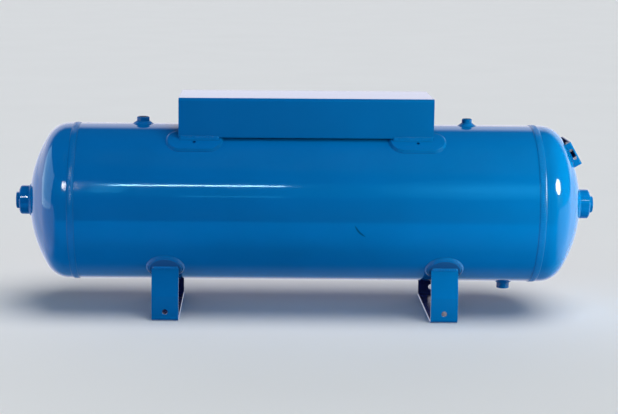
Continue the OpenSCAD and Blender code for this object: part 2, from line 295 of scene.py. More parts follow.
def shade(colour: Colour, factor: float) -> tuple[float, float, float, float]:
    """Multiplies a colour and gives it the fourth value that sockets want."""
    return (colour[0] * factor, colour[1] * factor, colour[2] * factor, 1.0)


@dataclass(frozen=True)
class Scrape:
    """A shallow crescent scrape in the front of the shell.

    Attributes:
        x: Centre of its curve along the tank.
        z: Height of that centre.
        radius: Radius of the curve.
        width: Half width of the scrape.
        lean: Direction from the centre to the middle of the scrape, in degrees from X.
        reach: Half of the angle that it takes up, in degrees.
        core: Share of the half width that is fully scraped.
        taper: Length of its fading ends, as a share of the radius.
        front: Distance from the middle of the tank at which it is fully seen.
        shade: Brightness of the film in it.
    """

    x: float = 160.7 * MM
    z: float = 266.2 * MM
    radius: float = 37.5 * MM
    width: float = 3.6 * MM
    lean: float = 223.0
    reach: float = 31.0
    core: float = 0.3
    taper: float = 0.1
    front: float = 50.0 * MM
    shade: float = 0.3

    def mask(self, graph: Graph, place: Socket) -> Socket:
        """Finds how far a point lies in the scrape.

        Args:
            graph: Graph that the nodes go to.
            place: Coordinates on the shell.

        Returns:
            The share, from 0 outside to 1 in its middle.
        """
        point = graph.node("SeparateXYZ", {"Vector": place})
        across = graph.math("SUBTRACT", point.outputs["X"], self.x)
        up = graph.math("SUBTRACT", point.outputs["Z"], self.z)
        away = graph.math("SQRT", graph.math("ADD", graph.math("MULTIPLY", across, across),
                                             graph.math("MULTIPLY", up, up)))
        off = graph.math("ABSOLUTE", graph.math("SUBTRACT", away, self.radius))
        turn = math.radians(self.lean)
        ahead = graph.math("ADD", graph.math("MULTIPLY", across, math.cos(turn)),
                           graph.math("MULTIPLY", up, math.sin(turn)))
        end = self.radius * math.cos(math.radians(self.reach))
        ring = graph.math("MULTIPLY", graph.step(off, self.width, self.core * self.width),
                          graph.step(ahead, end, end + self.taper * self.radius))
        return graph.math("MULTIPLY", ring, graph.step(point.outputs["Y"], 0.0, -self.front))


@dataclass(frozen=True)
class Finish:
    """A finish whose material is built once and then shared.

    Attributes:
        name: Name of the finish.
        colour: Its linear colour.
    """

    name: str
    colour: Colour

    def material(self) -> bpy.types.Material:
        """Builds the finish once and gives the same material afterwards."""
        known = bpy.data.materials.get(self.name)
        return known if known else self._build(Graph(bpy.data.materials.new(self.name)))

    def _build(self, graph: Graph) -> bpy.types.Material:
        """Builds the material in its empty graph; each finish has its own way."""
        raise NotImplementedError


@dataclass(frozen=True)
class Enamel(Finish):
    """Glossy enamel sprayed over steel.

    Attributes:
        slot: The record's material slot; not used.
        roughness: Lowest and highest roughness of the film.
        mottle: Share by which the film is lighter or darker from place to place.
        peel_size: Size of the orange peel's lumps, in metres.
        peel_depth: Depth of the orange peel, in metres.
        sway_size: Size of the slow waves of the plate below, in metres.
        sway_depth: Depth of those waves, in metres.
        specular: Specular level of the film.
        film_size: Size of the lighter and darker areas, in metres.
        haze_size: Size of the duller and glossier areas, in metres.
        toe_shade: Brightness of the painted shade in the toes of welds and on the faces of the foot pads.
        toe_haze: Roughness of the film there.
        scrape: Scrape in the film, if any.
    """

    slot: str
    roughness: Span = (0.05, 0.09)
    mottle: float = 0.04
    peel_size: float = 3.0 * MM
    peel_depth: float = 0.004 * MM
    sway_size: float = 90.0 * MM
    sway_depth: float = 0.05 * MM
    specular: float = 0.28
    film_size: float = 160.0 * MM
    haze_size: float = 45.0 * MM
    toe_shade: float = 0.5
    toe_haze: float = 0.9
    scrape: Scrape | None = None

    def _build(self, graph: Graph) -> bpy.types.Material:
        """Builds the node graph of the enamel.

        Args:
            graph: The empty graph of the new material.

        Returns:
            The new material.
        """
        place = graph.node("TexCoord").outputs["Object"]
        film = graph.noise(place, self.film_size, 3.0)
        tint = graph.mix(graph.spread(film, 0.0, 1.0), shade(self.colour, 1 - self.mottle),
                         shade(self.colour, 1 + self.mottle))
        # The toe attribute holds painted shade: it darkens the film in the toes of welds and on the foot
        # pads' faces, and makes the film rougher there.
        toe = graph.node("Attribute", attribute_name="toe").outputs["Fac"]
        tint = graph.mix(toe, tint, shade(self.colour, self.toe_shade))
        if self.scrape:
            tint = graph.mix(self.scrape.mask(graph, place), tint, shade(self.colour, self.scrape.shade))
        haze = graph.spread(graph.noise(place, self.haze_size, 2.0), *self.roughness)
        haze = graph.math("MAXIMUM", haze, graph.math("MULTIPLY", toe, self.toe_haze))
        sway = graph.bump(graph.noise(place, self.sway_size, 1.0), self.sway_depth)
        peel = graph.bump(graph.noise(place, self.peel_size, 2.0), self.peel_depth, sway)
        return graph.close(graph.node("BsdfPrincipled", {
            "Base Color": tint, "Roughness": haze, "Specular IOR Level": self.specular, "Normal": peel}))


@dataclass(frozen=True)
class TappedSteel(Finish):
    """Bare cut steel of a pipe thread, a little oiled.

    Attributes:
        name: Name of the finish.
        colour: Its linear colour.
        shades: Brightness of the darkest and the palest stains.
        roughness: Roughness of the same stains.
        stain_size: Size of the stains, in metres.
        mark_size: Size of the tool marks, in metres.
        mark_depth: Depth of the tool marks, in metres.
    """

    name: str = "tapped_steel"
    colour: Colour = (0.16, 0.16, 0.17)
    shades: Span = (0.6, 1.3)
    roughness: Span = (0.28, 0.5)
    stain_size: float = 6.0 * MM
    mark_size: float = 0.5 * MM
    mark_depth: float = 0.02 * MM

    def _build(self, graph: Graph) -> bpy.types.Material:
        """Builds the node graph of the cut steel.

        Args:
            graph: The empty graph of the new material.

        Returns:
            The new material.
        """
        place = graph.node("TexCoord").outputs["Object"]
        stain = graph.noise(place, self.stain_size, 3.0)
        tint = graph.mix(graph.spread(stain, 0.0, 1.0), *(shade(self.colour, s) for s in self.shades))
        marks = graph.bump(graph.noise(place, self.mark_size, 1.0), self.mark_depth)
        return graph.close(graph.node("BsdfPrincipled", {
            "Base Color": tint, "Metallic": 1.0, "Roughness": graph.spread(stain, *self.roughness),
            "Normal": marks}))


@dataclass(frozen=True)
class StudioPaper(Finish):
    """Pale matt paper of the floor.

    Attributes:
        name: Name of the finish.
        colour: Its linear colour.
        mottle: Share by which the paper is lighter or darker from place to place.
        cloud_size: Size of those areas, in metres.
    """

    name: str = "studio_paper"
    colour: Colour = (0.86, 0.86, 0.86)
    mottle: float = 0.02
    cloud_size: float = 600.0 * MM

    def _build(self, graph: Graph) -> bpy.types.Material:
        """Builds the node graph of the paper.

        Args:
            graph: The empty graph of the new material.

        Returns:
            The new material.
        """
        place = graph.node("TexCoord").outputs["Object"]
        tint = graph.mix(graph.noise(place, self.cloud_size, 2.0), shade(self.colour, 1 - self.mottle),
                         shade(self.colour, 1 + self.mottle))
        return graph.close(graph.node("BsdfPrincipled", {
            "Base Color": tint, "Roughness": 0.9, "Specular IOR Level": 0.1}))


SHELL_PAINT = Enamel("shell_enamel", (0.0, 0.110, 0.355), "shell_paint", scrape=Scrape())
HEAD_PAINT = Enamel("head_enamel", (0.0, 0.114, 0.365), "head_paint", sway_size=70 * MM)
WELD_PAINT = Enamel("weld_enamel", (0.0, 0.112, 0.358), "weld_paint", roughness=(0.12, 0.22),
                    peel_size=1.6 * MM, peel_depth=0.03 * MM, sway_size=9 * MM, sway_depth=0.06 * MM)
FITTING_PAINT = Enamel("fitting_enamel", (0.0, 0.104, 0.335), "fitting_paint", peel_size=2 * MM,
                       sway_size=14 * MM, sway_depth=0.03 * MM)
PLATE_PAINT = Enamel("plate_enamel", (0.0, 0.110, 0.355), "plate_paint", peel_size=2.5 * MM,
                     sway_size=60 * MM, sway_depth=0.08 * MM)
# Painted shade: a dark, dull enamel that stands in for the shade inside the feet and the nameplate
# bracket.
RECESS_SHADE_PAINT = Enamel("recess_enamel", (0.012, 0.018, 0.100), "plate_paint", roughness=(0.20, 0.32),
                      mottle=0.15, peel_size=1.5 * MM, peel_depth=0.02 * MM, specular=0.15)
TAPPED = TappedSteel()


class Draft:
    """Points and faces of one piece while it is being made."""

    def __init__(self) -> None:
        """Starts an empty draft."""
        self.points: list[Vector] = []
        self.faces: list[tuple[int, ...]] = []
        # Share of painted shade at each point, handed to the enamel as the toe attribute.
        self.toe: dict[int, float] = {}
        self.inner: set[int] = set()

    def row(self, points: Sequence[Vector]) -> list[int]:
        """Adds a row of points and gives their numbers."""
        self.points.extend(points)
        return list(range(len(self.points) - len(points), len(self.points)))

    def skin(self, rows: Sequence[list[int]], along: bool = False) -> None:
        """Covers the space between closed rows with four-sided faces.

        Args:
            rows: Rows with the same number of points.
            along: Whether the last row joins the first.
        """
        count = len(rows[0])
        pairs = list(zip(rows, rows[1:]))
        if along:
            pairs.append((rows[-1], rows[0]))
        for first, second in pairs:
            for i in range(count):
                j = (i + 1) % count
                self.faces.append((first[i], first[j], second[j], second[i]))

    def lid(self, row: Sequence[int]) -> None:
        """Closes a row with one face."""
        self.faces.append(tuple(row))

    def ladder(self, row: Sequence[int]) -> None:
        """Closes a row that runs out along a strip and back, with one face for each pair of points."""
        last = len(row) - 1
        for i in range(last // 2):
            self.faces.append((row[i], row[i + 1], row[last - i - 1], row[last - i]))

    def fan(self, row: Sequence[int], tip: Vector) -> None:
        """Closes a row with faces that meet at a point.

        Args:
            row: The row that is closed.
            tip: The point where the faces meet.
        """
        hub = self.row([tip])[0]
        for i in range(len(row)):
            self.faces.append((row[i], row[(i + 1) % len(row)], hub))

    def darken_toes(self, row: Sequence[int], across: int, steep: float) -> None:
        """Paints shade into both toes of a weld bead in one row.

        Args:
            row: The row, whose first points run across the bead.
            across: Number of stretches across the bead.
            steep: How fast the painted shade fades inwards.
        """
        for k in range(across + 1):
            share = k / across
            self.toe[row[k]] = 0.5 * max(0.0, 1 - steep * min(share, 1 - share))

    def build(self, name: str, finish: Enamel, crease: float = 40.0) -> Piece:
        """Makes the mesh object.

        Args:
            name: Name of the piece.
            finish: Finish of the piece.
            crease: Angle from which an edge is drawn sharp, in degrees.

        Returns:
            The new object.
        """
        mesh = bpy.data.meshes.new(name)
        mesh.from_pydata([tuple(p) for p in self.points], [], self.faces)
        # The toe attribute carries the painted shade to the enamel.
        if self.toe:
            layer = mesh.attributes.new("toe", "FLOAT", "POINT")
            for index, value in self.toe.items():
                layer.data[index].value = value
        mesh.materials.append(finish.material())
        if self.inner:
            mesh.materials.append(TAPPED.material())
            for index in self.inner:
                mesh.polygons[index].material_index = 1
        tidy_mesh(mesh, crease)
        made = bpy.data.objects.new(name, mesh)
        bpy.context.scene.collection.objects.link(made)
        return made


def tidy_mesh(mesh: bpy.types.Mesh, crease: float) -> None:
    """Turns the faces outwards and sets which edges are drawn sharp.

    Args:
        mesh: The mesh.
        crease: Angle from which an edge is drawn sharp, in degrees.
    """
    merge = 0.002 * MM
    work = bmesh.new()
    work.from_mesh(mesh)
    bmesh.ops.remove_doubles(work, verts=work.verts, dist=merge)
    bmesh.ops.recalc_face_normals(work, faces=work.faces)
    for face in work.faces:
        face.smooth = True
    work.to_mesh(mesh)
    work.free()
    mesh.set_sharp_from_angle(angle=math.radians(crease))


def hand_over(piece: Piece, finish: Enamel, node: str = "") -> None:
    """Fastens a finished piece to the frame and reports it.

    Args:
        piece: The piece.
        finish: Finish whose name is reported.
        node: The CAD node that the piece stands for, if any.
    """
    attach(piece, BODY)
    if node:
        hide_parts(node)
    LOG.info("%s: %d faces, finish %s, in place of %s", piece.name, len(piece.data.polygons),
             finish.name, node or "nothing")


def shade_recess(piece: Piece, middle: Callable[[Vector], Vector]) -> None:
    """Gives the faces that look into a recess a dark, dull enamel: painted shade for the shade that falls
    there.

    Args:
        piece: The piece.
        middle: Finds the middle of the recess beside a point of the piece.
    """
    facing = 0.4
    mesh = piece.data
    mesh.materials.append(RECESS_SHADE_PAINT.material())
    last = len(mesh.materials) - 1
    for face in mesh.polygons:
        inward = (middle(face.center) - face.center).normalized()
        if face.normal.dot(inward) > facing:
            face.material_index = last


def flatten_sides(piece: Piece) -> None:
    """Keeps large flat faces flat beside rounded edges, by weighting normals with face area."""
    weighting = piece.modifiers.new("even_normals", "WEIGHTED_NORMAL")
    weighting.keep_sharp = True


def finish_bent(piece: Piece, middle: Callable[[Vector], Vector]) -> None:
    """Finishes a bent and drilled plate: sharp edges, painted shade in its recess and flat sides.

    Args:
        piece: The piece.
        middle: Finds the middle of the recess beside a point of the piece.
    """
    crease = 50.0
    piece.data.set_sharp_from_angle(angle=math.radians(crease))
    shade_recess(piece, middle)
    flatten_sides(piece)


def drill(piece: Piece, cutter: Piece) -> None:
    """Cuts one closed shape out of a piece and removes the cutter.

    Args:
        piece: The piece that is cut.
        cutter: The closed shape.
    """
    cut = piece.modifiers.new("cut", "BOOLEAN")
    cut.object = cutter
    cut.operation = "DIFFERENCE"
    cut.solver = "EXACT"
    bpy.context.view_layer.update()
    graph = bpy.context.evaluated_depsgraph_get()
    mesh = bpy.data.meshes.new_from_object(piece.evaluated_get(graph))
    piece.modifiers.remove(cut)
    old = piece.data
    piece.data = mesh
    bpy.data.meshes.remove(old)
    bpy.data.objects.remove(cutter)
    tidy_mesh(mesh, crease=30.0)


def rounded(corners: Outline, radii: Sequence[float], steps: int) -> Outline:
    """Rounds the corners of a closed outline with arcs.

    Args:
        corners: Corner points in order.
        radii: Radius at each corner; 0 keeps it sharp.
        steps: Stretches of each arc.

    Returns:
        The rounded outline.
    """
    result: Outline = []
    for i, (corner, radius) in enumerate(zip(corners, radii)):
        here = Vector(corner)
        if radius <= 0:
            result.append(corner)
            continue
        before = (Vector(corners[i - 1]) - here).normalized()
        after = (Vector(corners[(i + 1) % len(corners)]) - here).normalized()
        half = before.angle(after) / 2
        middle = here + (before + after).normalized() * radius / math.sin(half)
        first = here + before * radius / math.tan(half) - middle
        last = here + after * radius / math.tan(half) - middle
        turn = first.angle_signed(last)
        for k in range(steps + 1):
            spoke = first.copy()
            spoke.rotate(Matrix.Rotation(-turn * k / steps, 2))
            result.append((middle.x + spoke.x, middle.y + spoke.y))
    return result


def oblong(length: float, width: float) -> Outline:
    """Corners of an oblong round the middle, anticlockwise."""
    x, y = length / 2, width / 2
    return [(x, -y), (x, y), (-x, y), (-x, -y)]


def split(outline: Outline, parts_in: Callable[[float], int]) -> Outline:
    """Splits every side of a closed outline into equal parts.

    Args:
        outline: Points in order.
        parts_in: Finds the number of parts for the length of a side.

    Returns:
        The points with the new ones between them.
    """
    result: Outline = []
    for (ax, ay), (bx, by) in zip(outline, outline[1:] + outline[:1]):
        parts = parts_in(math.hypot(bx - ax, by - ay))
        result += [(ax + (bx - ax) * k / parts, ay + (by - ay) * k / parts) for k in range(parts)]
    return result


def inset(outline: Outline, depth: float) -> Outline:
    """Moves every point of a closed outline inwards.

    Args:
        outline: Points in anticlockwise order.
        depth: How far the sides move.

    Returns:
        The moved points.
    """
    result: Outline = []
    count = len(outline)
    for i in range(count):
        here = Vector(outline[i])
        before = (here - Vector(outline[i - 1])).normalized()
        after = (Vector(outline[(i + 1) % count]) - here).normalized()
        inward = Vector((-before.y - after.y, before.x + after.x))
        share = 1 + before.dot(after)
        moved = here + inward * depth / max(share, 0.2)
        result.append((moved.x, moved.y))
    return result


def bar(section: Callable[[float], Outline], low: float, high: float, edge_r: float,
        place: Place, stretches: int = 1) -> Draft:
    """Draws a bar whose end edges are rounded.

    Args:
        section: Finds the anticlockwise section at a place along the bar.
        low: Place of the first end.
        high: Place of the last end.
        edge_r: Radius of the rounded end edges.
        place: Turns (along, across, up) into a point of the row frame.
        stretches: Number of stretches between the rounded edges.

    Returns:
        The draft of the bar.
    """
    steps = 3
    turns = [math.pi / 2 * k / steps for k in range(steps + 1)]
    ends = [(edge_r * (1 - math.cos(t)), edge_r * (1 - math.sin(t))) for t in turns]
    straight = high - low - 2 * edge_r
    stations = [(low + along, depth) for along, depth in ends]
    stations += [(low + edge_r + straight * k / stretches, 0.0) for k in range(1, stretches)]
    stations += [(high - along, depth) for along, depth in reversed(ends)]
    draft = Draft()
    rows = [draft.row([place(x, a, b) for a, b in inset(section(x), depth)]) for x, depth in stations]
    draft.skin(rows)
    draft.ladder(rows[0])
    draft.ladder(rows[-1])
    return draft


def upright(x: float, y: float, z: float) -> Vector:
    """Places a section of a bar along X: y across, z up."""
    return Vector((x, y, z))


def wave(phase: float) -> float:
    """Height of one weld ripple, from 0 to 1, with a steep front and a long back."""
    skew = 0.7
    share = phase - math.floor(phase)
    return 0.5 + 0.5 * math.cos(2 * math.pi * share ** skew)


@dataclass(frozen=True)
class Seam:
    """One place along a fillet weld.

    Attributes:
        corner: Where the plate and the wall meet.
        plate_toe: Edge of the bead on the plate.
        wall_toe: Edge of the bead on the wall.
        along: Length along the weld up to this place, in metres.
    """

    corner: Vector
    plate_toe: Vector
    wall_toe: Vector
    along: float


@dataclass(frozen=True)
class FilletBead:
    """How a fillet weld is laid.

    Attributes:
        ripple: Distance between its waves.
        height: Height of a wave, in metres.
        belly: Rise of the middle above the straight line between the toes, in metres.
        across: Number of stretches across the bead.
    """

    ripple: Ripple = Ripple.MEDIUM
    height: float = 0.45 * MM
    belly: float = 0.6 * MM
    across: int = 8

    def draft(self, seams: Sequence[Seam], closed: bool) -> Draft:
        """Draws the bead along its seam.

        Args:
            seams: Places along the weld, close enough together to show the ripples.
            closed: Whether the weld runs into its own start.

        Returns:
            The draft of the bead.
        """
        draft = Draft()
        rows = []
        total = seams[-1].along
        for seam in seams:
            points = self._section(seam, 1.0 if closed else self._fade(seam.along, total))
            rows.append(draft.row(points))
            # Painted shade in both toes of the bead.
            draft.darken_toes(rows[-1], self.across, 5.0)
        draft.skin(rows, along=closed)
        if not closed:
            draft.lid(rows[0])
            draft.lid(rows[-1])
        return draft

    @staticmethod
    def _fade(along: float, total: float) -> float:
        """Size of the bead near its ends, from a third up to the full size."""
        reach = 5 * MM
        least = 0.35
        share = min(1.0, min(along, total - along) / reach)
        return least + (1 - least) * math.sqrt(1 - (1 - share) ** 2)

    def _section(self, seam: Seam, fade: float) -> list[Vector]:
        """Points across the bead at one place.

        Args:
            seam: The place.
            fade: Size of the bead there, as a share.

        Returns:
            The points from the plate's toe over the face to the wall's toe, then the corner.
        """
        low = seam.corner.lerp(seam.plate_toe, fade)
        high = seam.corner.lerp(seam.wall_toe, fade)
        out = ((low + high) / 2 - seam.corner).normalized()
        sway = noise.noise(seam.corner * 60) * 0.35
        bow = 0.55
        points = []
        for k in range(self.across + 1):
            share = k / self.across
            dome = 4 * share * (1 - share)
            phase = seam.along / self.ripple.value + bow * dome + sway
            lift = (self.belly * dome + self.height * wave(phase) * dome) * fade
            points.append(low.lerp(high, share) + out * lift)
        points.append(seam.corner.copy())
        return points


@dataclass
class Vessel:
    """The rolled shell, its two dished heads and the girth welds between them.

    Attributes:
        bead_w: Width of the cap of a girth weld.
        bead_h: Height of that cap without its ripples.
        ripple_h: Height of the ripples on the cap.
        root_w: Width of the root between the plates.
        turns: Places round the tank at which the bead is drawn.
        across: Stretches across the cap.
    """

    bead_w: float = 18.0 * MM
    bead_h: float = 1.25 * MM
    ripple_h: float = 0.35 * MM
    root_w: float = 2.8 * MM
    turns: int = 1824
    across: int = 12

    def build(self) -> None:
        """Paints the shell and the heads and lays both girth welds."""
        paint_node("shell", SHELL_PAINT)
        for end in End:
            paint_node(f"{end.word}_head", HEAD_PAINT)
            self._girth_weld(end)

    def _girth_weld(self, end: End) -> None:
        """Lays the rippled bead of one girth weld.

        Args:
            end: The end of the tank.
        """
        middle = end.value * GAUGE.weld_x
        draft = Draft()
        rows = []
        for i in range(self.turns):
            angle = 2 * math.pi * i / self.turns
            rows.append(draft.row(self._section(middle, angle)))
            # Painted shade in both toes of the bead.
            draft.darken_toes(rows[-1], self.across, 7.0)
        draft.skin(rows, along=True)
        node = f"{end.word}_girth_weld"
        hand_over(draft.build(f"{end.word}_girth_bead", WELD_PAINT), WELD_PAINT, node)

    def _section(self, middle: float, angle: float) -> list[Vector]:
        """Points across the bead at one angle.

        Args:
            middle: Place of the weld along the tank.
            angle: Angle round the tank, from the top.

        Returns:
            The points over the cap, then down and back round the root.
        """
        base = GAUGE.shell_r + GAUGE.seat / 2
        ring = Vector((math.cos(angle), math.sin(angle), middle))
        wander = noise.noise(ring * 5) * 0.5 * MM
        sway = noise.noise(ring * 12) * 0.3
        waves = round(2 * math.pi * GAUGE.shell_r / Ripple.COARSE.value)
        points = []
        for k in range(self.across + 1):
            share = k / self.across
            dome = 4 * share * (1 - share)
            ripple = wave(waves * angle / (2 * math.pi) + 0.8 * dome + sway)
            lift = self.bead_h * dome ** 0.55 + self.ripple_h * ripple * dome ** 0.4
            x = middle + (share - 0.5) * self.bead_w + wander
            points.append(GAUGE.on_shell(x, angle, base + lift))
        inside = GAUGE.shell_r - GAUGE.wall
        for x, radius in ((0.5, base), (0.5, inside), (-0.5, inside), (-0.5, base)):
            points.append(GAUGE.on_shell(middle + x * self.root_w, angle, radius))
        return points


def paint_node(node: str, finish: Enamel) -> None:
    """Gives a CAD node its finish.

    Args:
        node: Name of the node.
        finish: The finish.
    """
    for slot in frame["nodes"][node].material_slots:
        slot.material = finish.material()
    LOG.info("%s: CAD node, finish %s", node, finish.name)


def lathe(draft: Draft, profile: Sequence[Span], steps: int, place: Place) -> list[list[int]]:
    """Turns a profile of (radius, height) round an axis and gives one row for each of its points."""
    angles = [2 * math.pi * i / steps for i in range(steps)]
    return [draft.row([place(radius, a, height) for a in angles]) for radius, height in profile]


def ring_seams(wall_r: float, width: float, height: float, mid: float, place: Place,
               ground: Callable[[float, float], float]) -> list[Seam]:
    """Lays out the fillet weld round the foot of a pipe socket.

    Args:
        wall_r: Outside radius of the socket.
        width: Width of the weld on the ground.
        height: Height of the weld on the socket.
        mid: Distance beyond the socket at which the ripples are counted.
        place: Turns (radius, angle, height) into a point of the row frame.
        ground: Finds the height of the ground at a radius and an angle.

    Returns:
        The places along the weld.
    """
    stretch = wall_r + mid
    count = round(2 * math.pi * stretch / Ripple.MEDIUM.value) * 8
    seams = []
    for i in range(count):
        angle = 2 * math.pi * i / count
        low = ground(wall_r, angle)
        toe_r = wall_r + width
        seams.append(Seam(place(wall_r, angle, low), place(toe_r, angle, ground(toe_r, angle)),
                          place(wall_r, angle, low + height), angle * stretch))
    return seams


@dataclass
class EndFitting:
    """The pipe socket of a head with its plug and its fillet weld.

    Attributes:
        end: The end of the tank.
        bore_r: Radius of the socket's hole.
        chamfer: Chamfer round the outer edge of the socket.
        weld: Width and height of the fillet weld.
        flats: Distance across the flats of the plug's hexagon.
        head_h: Height of the hexagon above the socket.
        steps: Places round the axis.
    """

    end: End
    bore_r: float = 28.5 * MM
    chamfer: float = 3.5 * MM
    weld: float = 6.0 * MM
    flats: float = 42.0 * MM
    head_h: float = 9.5 * MM
    steps: int = 144

    def build(self) -> None:
        """Makes the socket, the plug and the weld."""
        self._socket()
        self._plug()
        self._weld()

    @property
    def _side(self) -> str:
        """First word of the node names at this end."""
        return self.end.word

    def _place(self, radius: float, angle: float, x: float) -> Vector:
        """Places a point by radius, angle and distance from the middle of the tank."""
        return Vector((self.end.value * x, radius * math.sin(angle),
                       GAUGE.axis_z + radius * math.cos(angle)))

    @staticmethod
    def _measure(node: str) -> tuple[float, float, float]:
        """Radius of a round node, and its nearest and furthest place from the middle of the tank."""
        low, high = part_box(node)
        nearest, furthest = sorted((abs(low.x), abs(high.x)))
        return (high.y - low.y) / 2, nearest, furthest

    def _socket(self) -> None:
        """Makes the socket, turned with a chamfered mouth and a countersink."""
        node = f"{self._side}_end_socket"
        r, inner, outer = self._measure(node)
        soft = 0.6 * MM
        sink = 1.2 * MM
        corners = [(self.bore_r, inner), (r, inner), (r, outer - self.chamfer),
                   (r - self.chamfer, outer), (self.bore_r + sink, outer), (self.bore_r, outer - sink)]
        radii = [0.3 * MM, soft, 2 * soft, 2 * soft, soft / 2, soft / 2]
        draft = Draft()
        rows = lathe(draft, rounded(corners, radii, 4), self.steps, self._place)
        draft.skin(rows, along=True)
        piece = draft.build(f"{self._side}_end_coupling", FITTING_PAINT)
        flatten_sides(piece)
        hand_over(piece, FITTING_PAINT, node)

    def _plug(self) -> None:
        """Makes the plug: a round body and a hexagon whose corners are turned down."""
        node = f"{self._side}_end_plug"
        body_r, inner, outer = self._measure(node)
        base = outer - self.head_h
        shoulder = 0.3 * MM
        turned_h = 3.2 * MM
        turned_slope = 0.85
        spare = 0.15 * MM
        dish = 0.4 * MM
        draft = Draft()
        rows = lathe(draft, [(body_r, inner), (body_r, base - shoulder), (body_r - shoulder, base)],
                     self.steps, self._place)
        half = self.flats / 2
        corner_r = half / math.cos(math.pi / 6)
        levels = [base + self.head_h * share for share in (0.0, 0.3, 0.55, 0.7, 0.8, 0.88, 0.95, 1.0)]
        for height in levels:
            turned = corner_r + spare - max(0.0, height - outer + turned_h) * turned_slope
            points = []
            for i in range(self.steps):
                angle = 2 * math.pi * i / self.steps
                fold = (angle + math.pi / 6) % (math.pi / 3) - math.pi / 6
                points.append(self._place(self._soft_least(half / math.cos(fold), turned), angle, height))
            rows.append(draft.row(points))
        rim = half * 0.86
        mark = [(rim + 0.8 * MM, outer), (rim, outer - 0.25 * MM), (rim - 5 * MM, outer - dish)]
        rows += lathe(draft, mark, self.steps, self._place)
        draft.skin(rows)
        draft.lid(rows[0])
        draft.fan(rows[-1], self._place(0.0, 0.0, outer - dish))
        piece = draft.build(f"{self._side}_hexagon_plug", FITTING_PAINT, 28.0)
        hand_over(piece, FITTING_PAINT, node)

    @staticmethod
    def _soft_least(first: float, second: float) -> float:
        """The smaller of two radii, with a rounded change between them."""
        blend = 0.35 * MM
        share = max(0.0, min(1.0, 0.5 + (second - first) / (2 * blend)))
        return second + (first - second) * share - blend * share * (1 - share)

    def _weld(self) -> None:
        """Lays the fillet weld between the socket and the crown of the head."""
        wall_r = self._measure(f"{self._side}_end_socket")[0] + GAUGE.seat / 2
        seams = ring_seams(wall_r, self.weld * 1.1, self.weld, 0.0, self._place, self._crown)
        bead = FilletBead(belly=0.2 * MM)
        piece = bead.draft(seams, True).build(f"{self._side}_end_bead", WELD_PAINT)
        hand_over(piece, WELD_PAINT, f"{self._side}_end_weld")

    @staticmethod
    def _crown(radius: float, _: float) -> float:
        """Place of the crown's face along the tank, at a distance from the axis."""
        r = GAUGE.crown_r + GAUGE.seat
        return GAUGE.crown_x + math.sqrt(r ** 2 - radius ** 2)


@dataclass
class ThreadedPort:
    """A pipe socket on the shell with its thread and its fillet weld.

    Attributes:
        node: CAD node of the socket.
        weld_node: CAD node of its weld.
        bore_r: Radius of the thread's crests.
        pitch: Pitch of the thread.
        thread_h: Depth of the thread.
        edge_r: Rounded edge of the mouth.
        weld_w: Width of the fillet weld on the shell.
        weld_h: Height of the fillet weld on the socket.
        steps: Places round the socket.
    """

    node: str
    weld_node: str
    bore_r: float
    pitch: float = 1.814 * MM
    thread_h: float = 1.1 * MM
    edge_r: float = 2.0 * MM
    weld_w: float = 11.0 * MM
    weld_h: float = 8.0 * MM
    steps: int = 96

    def __post_init__(self) -> None:
        """Reads the socket's place and size from the frame."""
        low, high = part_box(self.node)
        self._x = (low.x + high.x) / 2
        self._r = (high.x - low.x) / 2
        self._up = 1.0 if low.z > GAUGE.axis_z else -1.0
        self._low, self._high = sorted(abs(z - GAUGE.axis_z) for z in (low.z, high.z))

    def build(self) -> None:
        """Makes the socket and lays its weld."""
        self._socket()
        self._weld()

    def _place(self, radius: float, angle: float, height: float) -> Vector:
        """Places a point by radius and angle round the port, and height above the tank's axis."""
        return Vector((self._x + radius * math.cos(angle), radius * math.sin(angle),
                       GAUGE.axis_z + self._up * height))

    def _socket(self) -> None:
        """Makes the socket with a cut thread inside."""
        sink = 1.3 * MM
        lead = 0.6 * MM
        draft = Draft()
        corners = [(self.bore_r + sink, self._low), (self._r, self._low), (self._r, self._high),
                   (self.bore_r + self.thread_h, self._high)]
        profile = rounded(corners, [0.0, 0.4 * MM, self.edge_r, 0.8 * MM], 6)
        rows = lathe(draft, profile, self.steps, self._place)
        draft.skin(rows)
        painted = len(draft.faces)
        height = self._high - self._low
        levels = math.ceil(height / self.pitch * 8)
        thread_rows = []
        for level in range(levels + 1):
            z = self._high - lead - (height - lead) * level / levels
            points = []
            for i in range(self.steps):
                share = i / self.steps
                turn = (z / self.pitch - share) % 1.0
                cut = 1 - abs(2 * turn - 1)
                flare = max(0.0, 1 - (self._high - z) / (1.5 * self.pitch))
                radius = self.bore_r + self.thread_h * max(min(1.25 * cut, 1.0), flare)
                points.append(self._place(radius, 2 * math.pi * share, z))
            thread_rows.append(draft.row(points))
        draft.skin([rows[-1], *thread_rows, rows[0]])
        draft.inner = set(range(painted, len(draft.faces)))
        piece = draft.build(self.node.replace("port", "tapped_socket"), FITTING_PAINT)
        hand_over(piece, FITTING_PAINT, self.node)

    def _weld(self) -> None:
        """Lays the fillet weld, which follows the curve of the shell."""
        seams = ring_seams(self._r + GAUGE.seat / 2, self.weld_w, self.weld_h, self.weld_w / 2,
                           self._place, self._shell)
        bead = FilletBead(belly=-0.9 * MM, height=0.4 * MM)
        piece = bead.draft(seams, True).build(self.weld_node.replace("weld", "bead"), WELD_PAINT)
        hand_over(piece, WELD_PAINT, self.weld_node)

    @staticmethod
    def _shell(radius: float, angle: float) -> float:
        """Height of the shell's face above the axis, at a place round the port."""
        r = GAUGE.shell_r + GAUGE.seat / 2
        return math.sqrt(r ** 2 - (radius * math.sin(angle)) ** 2)


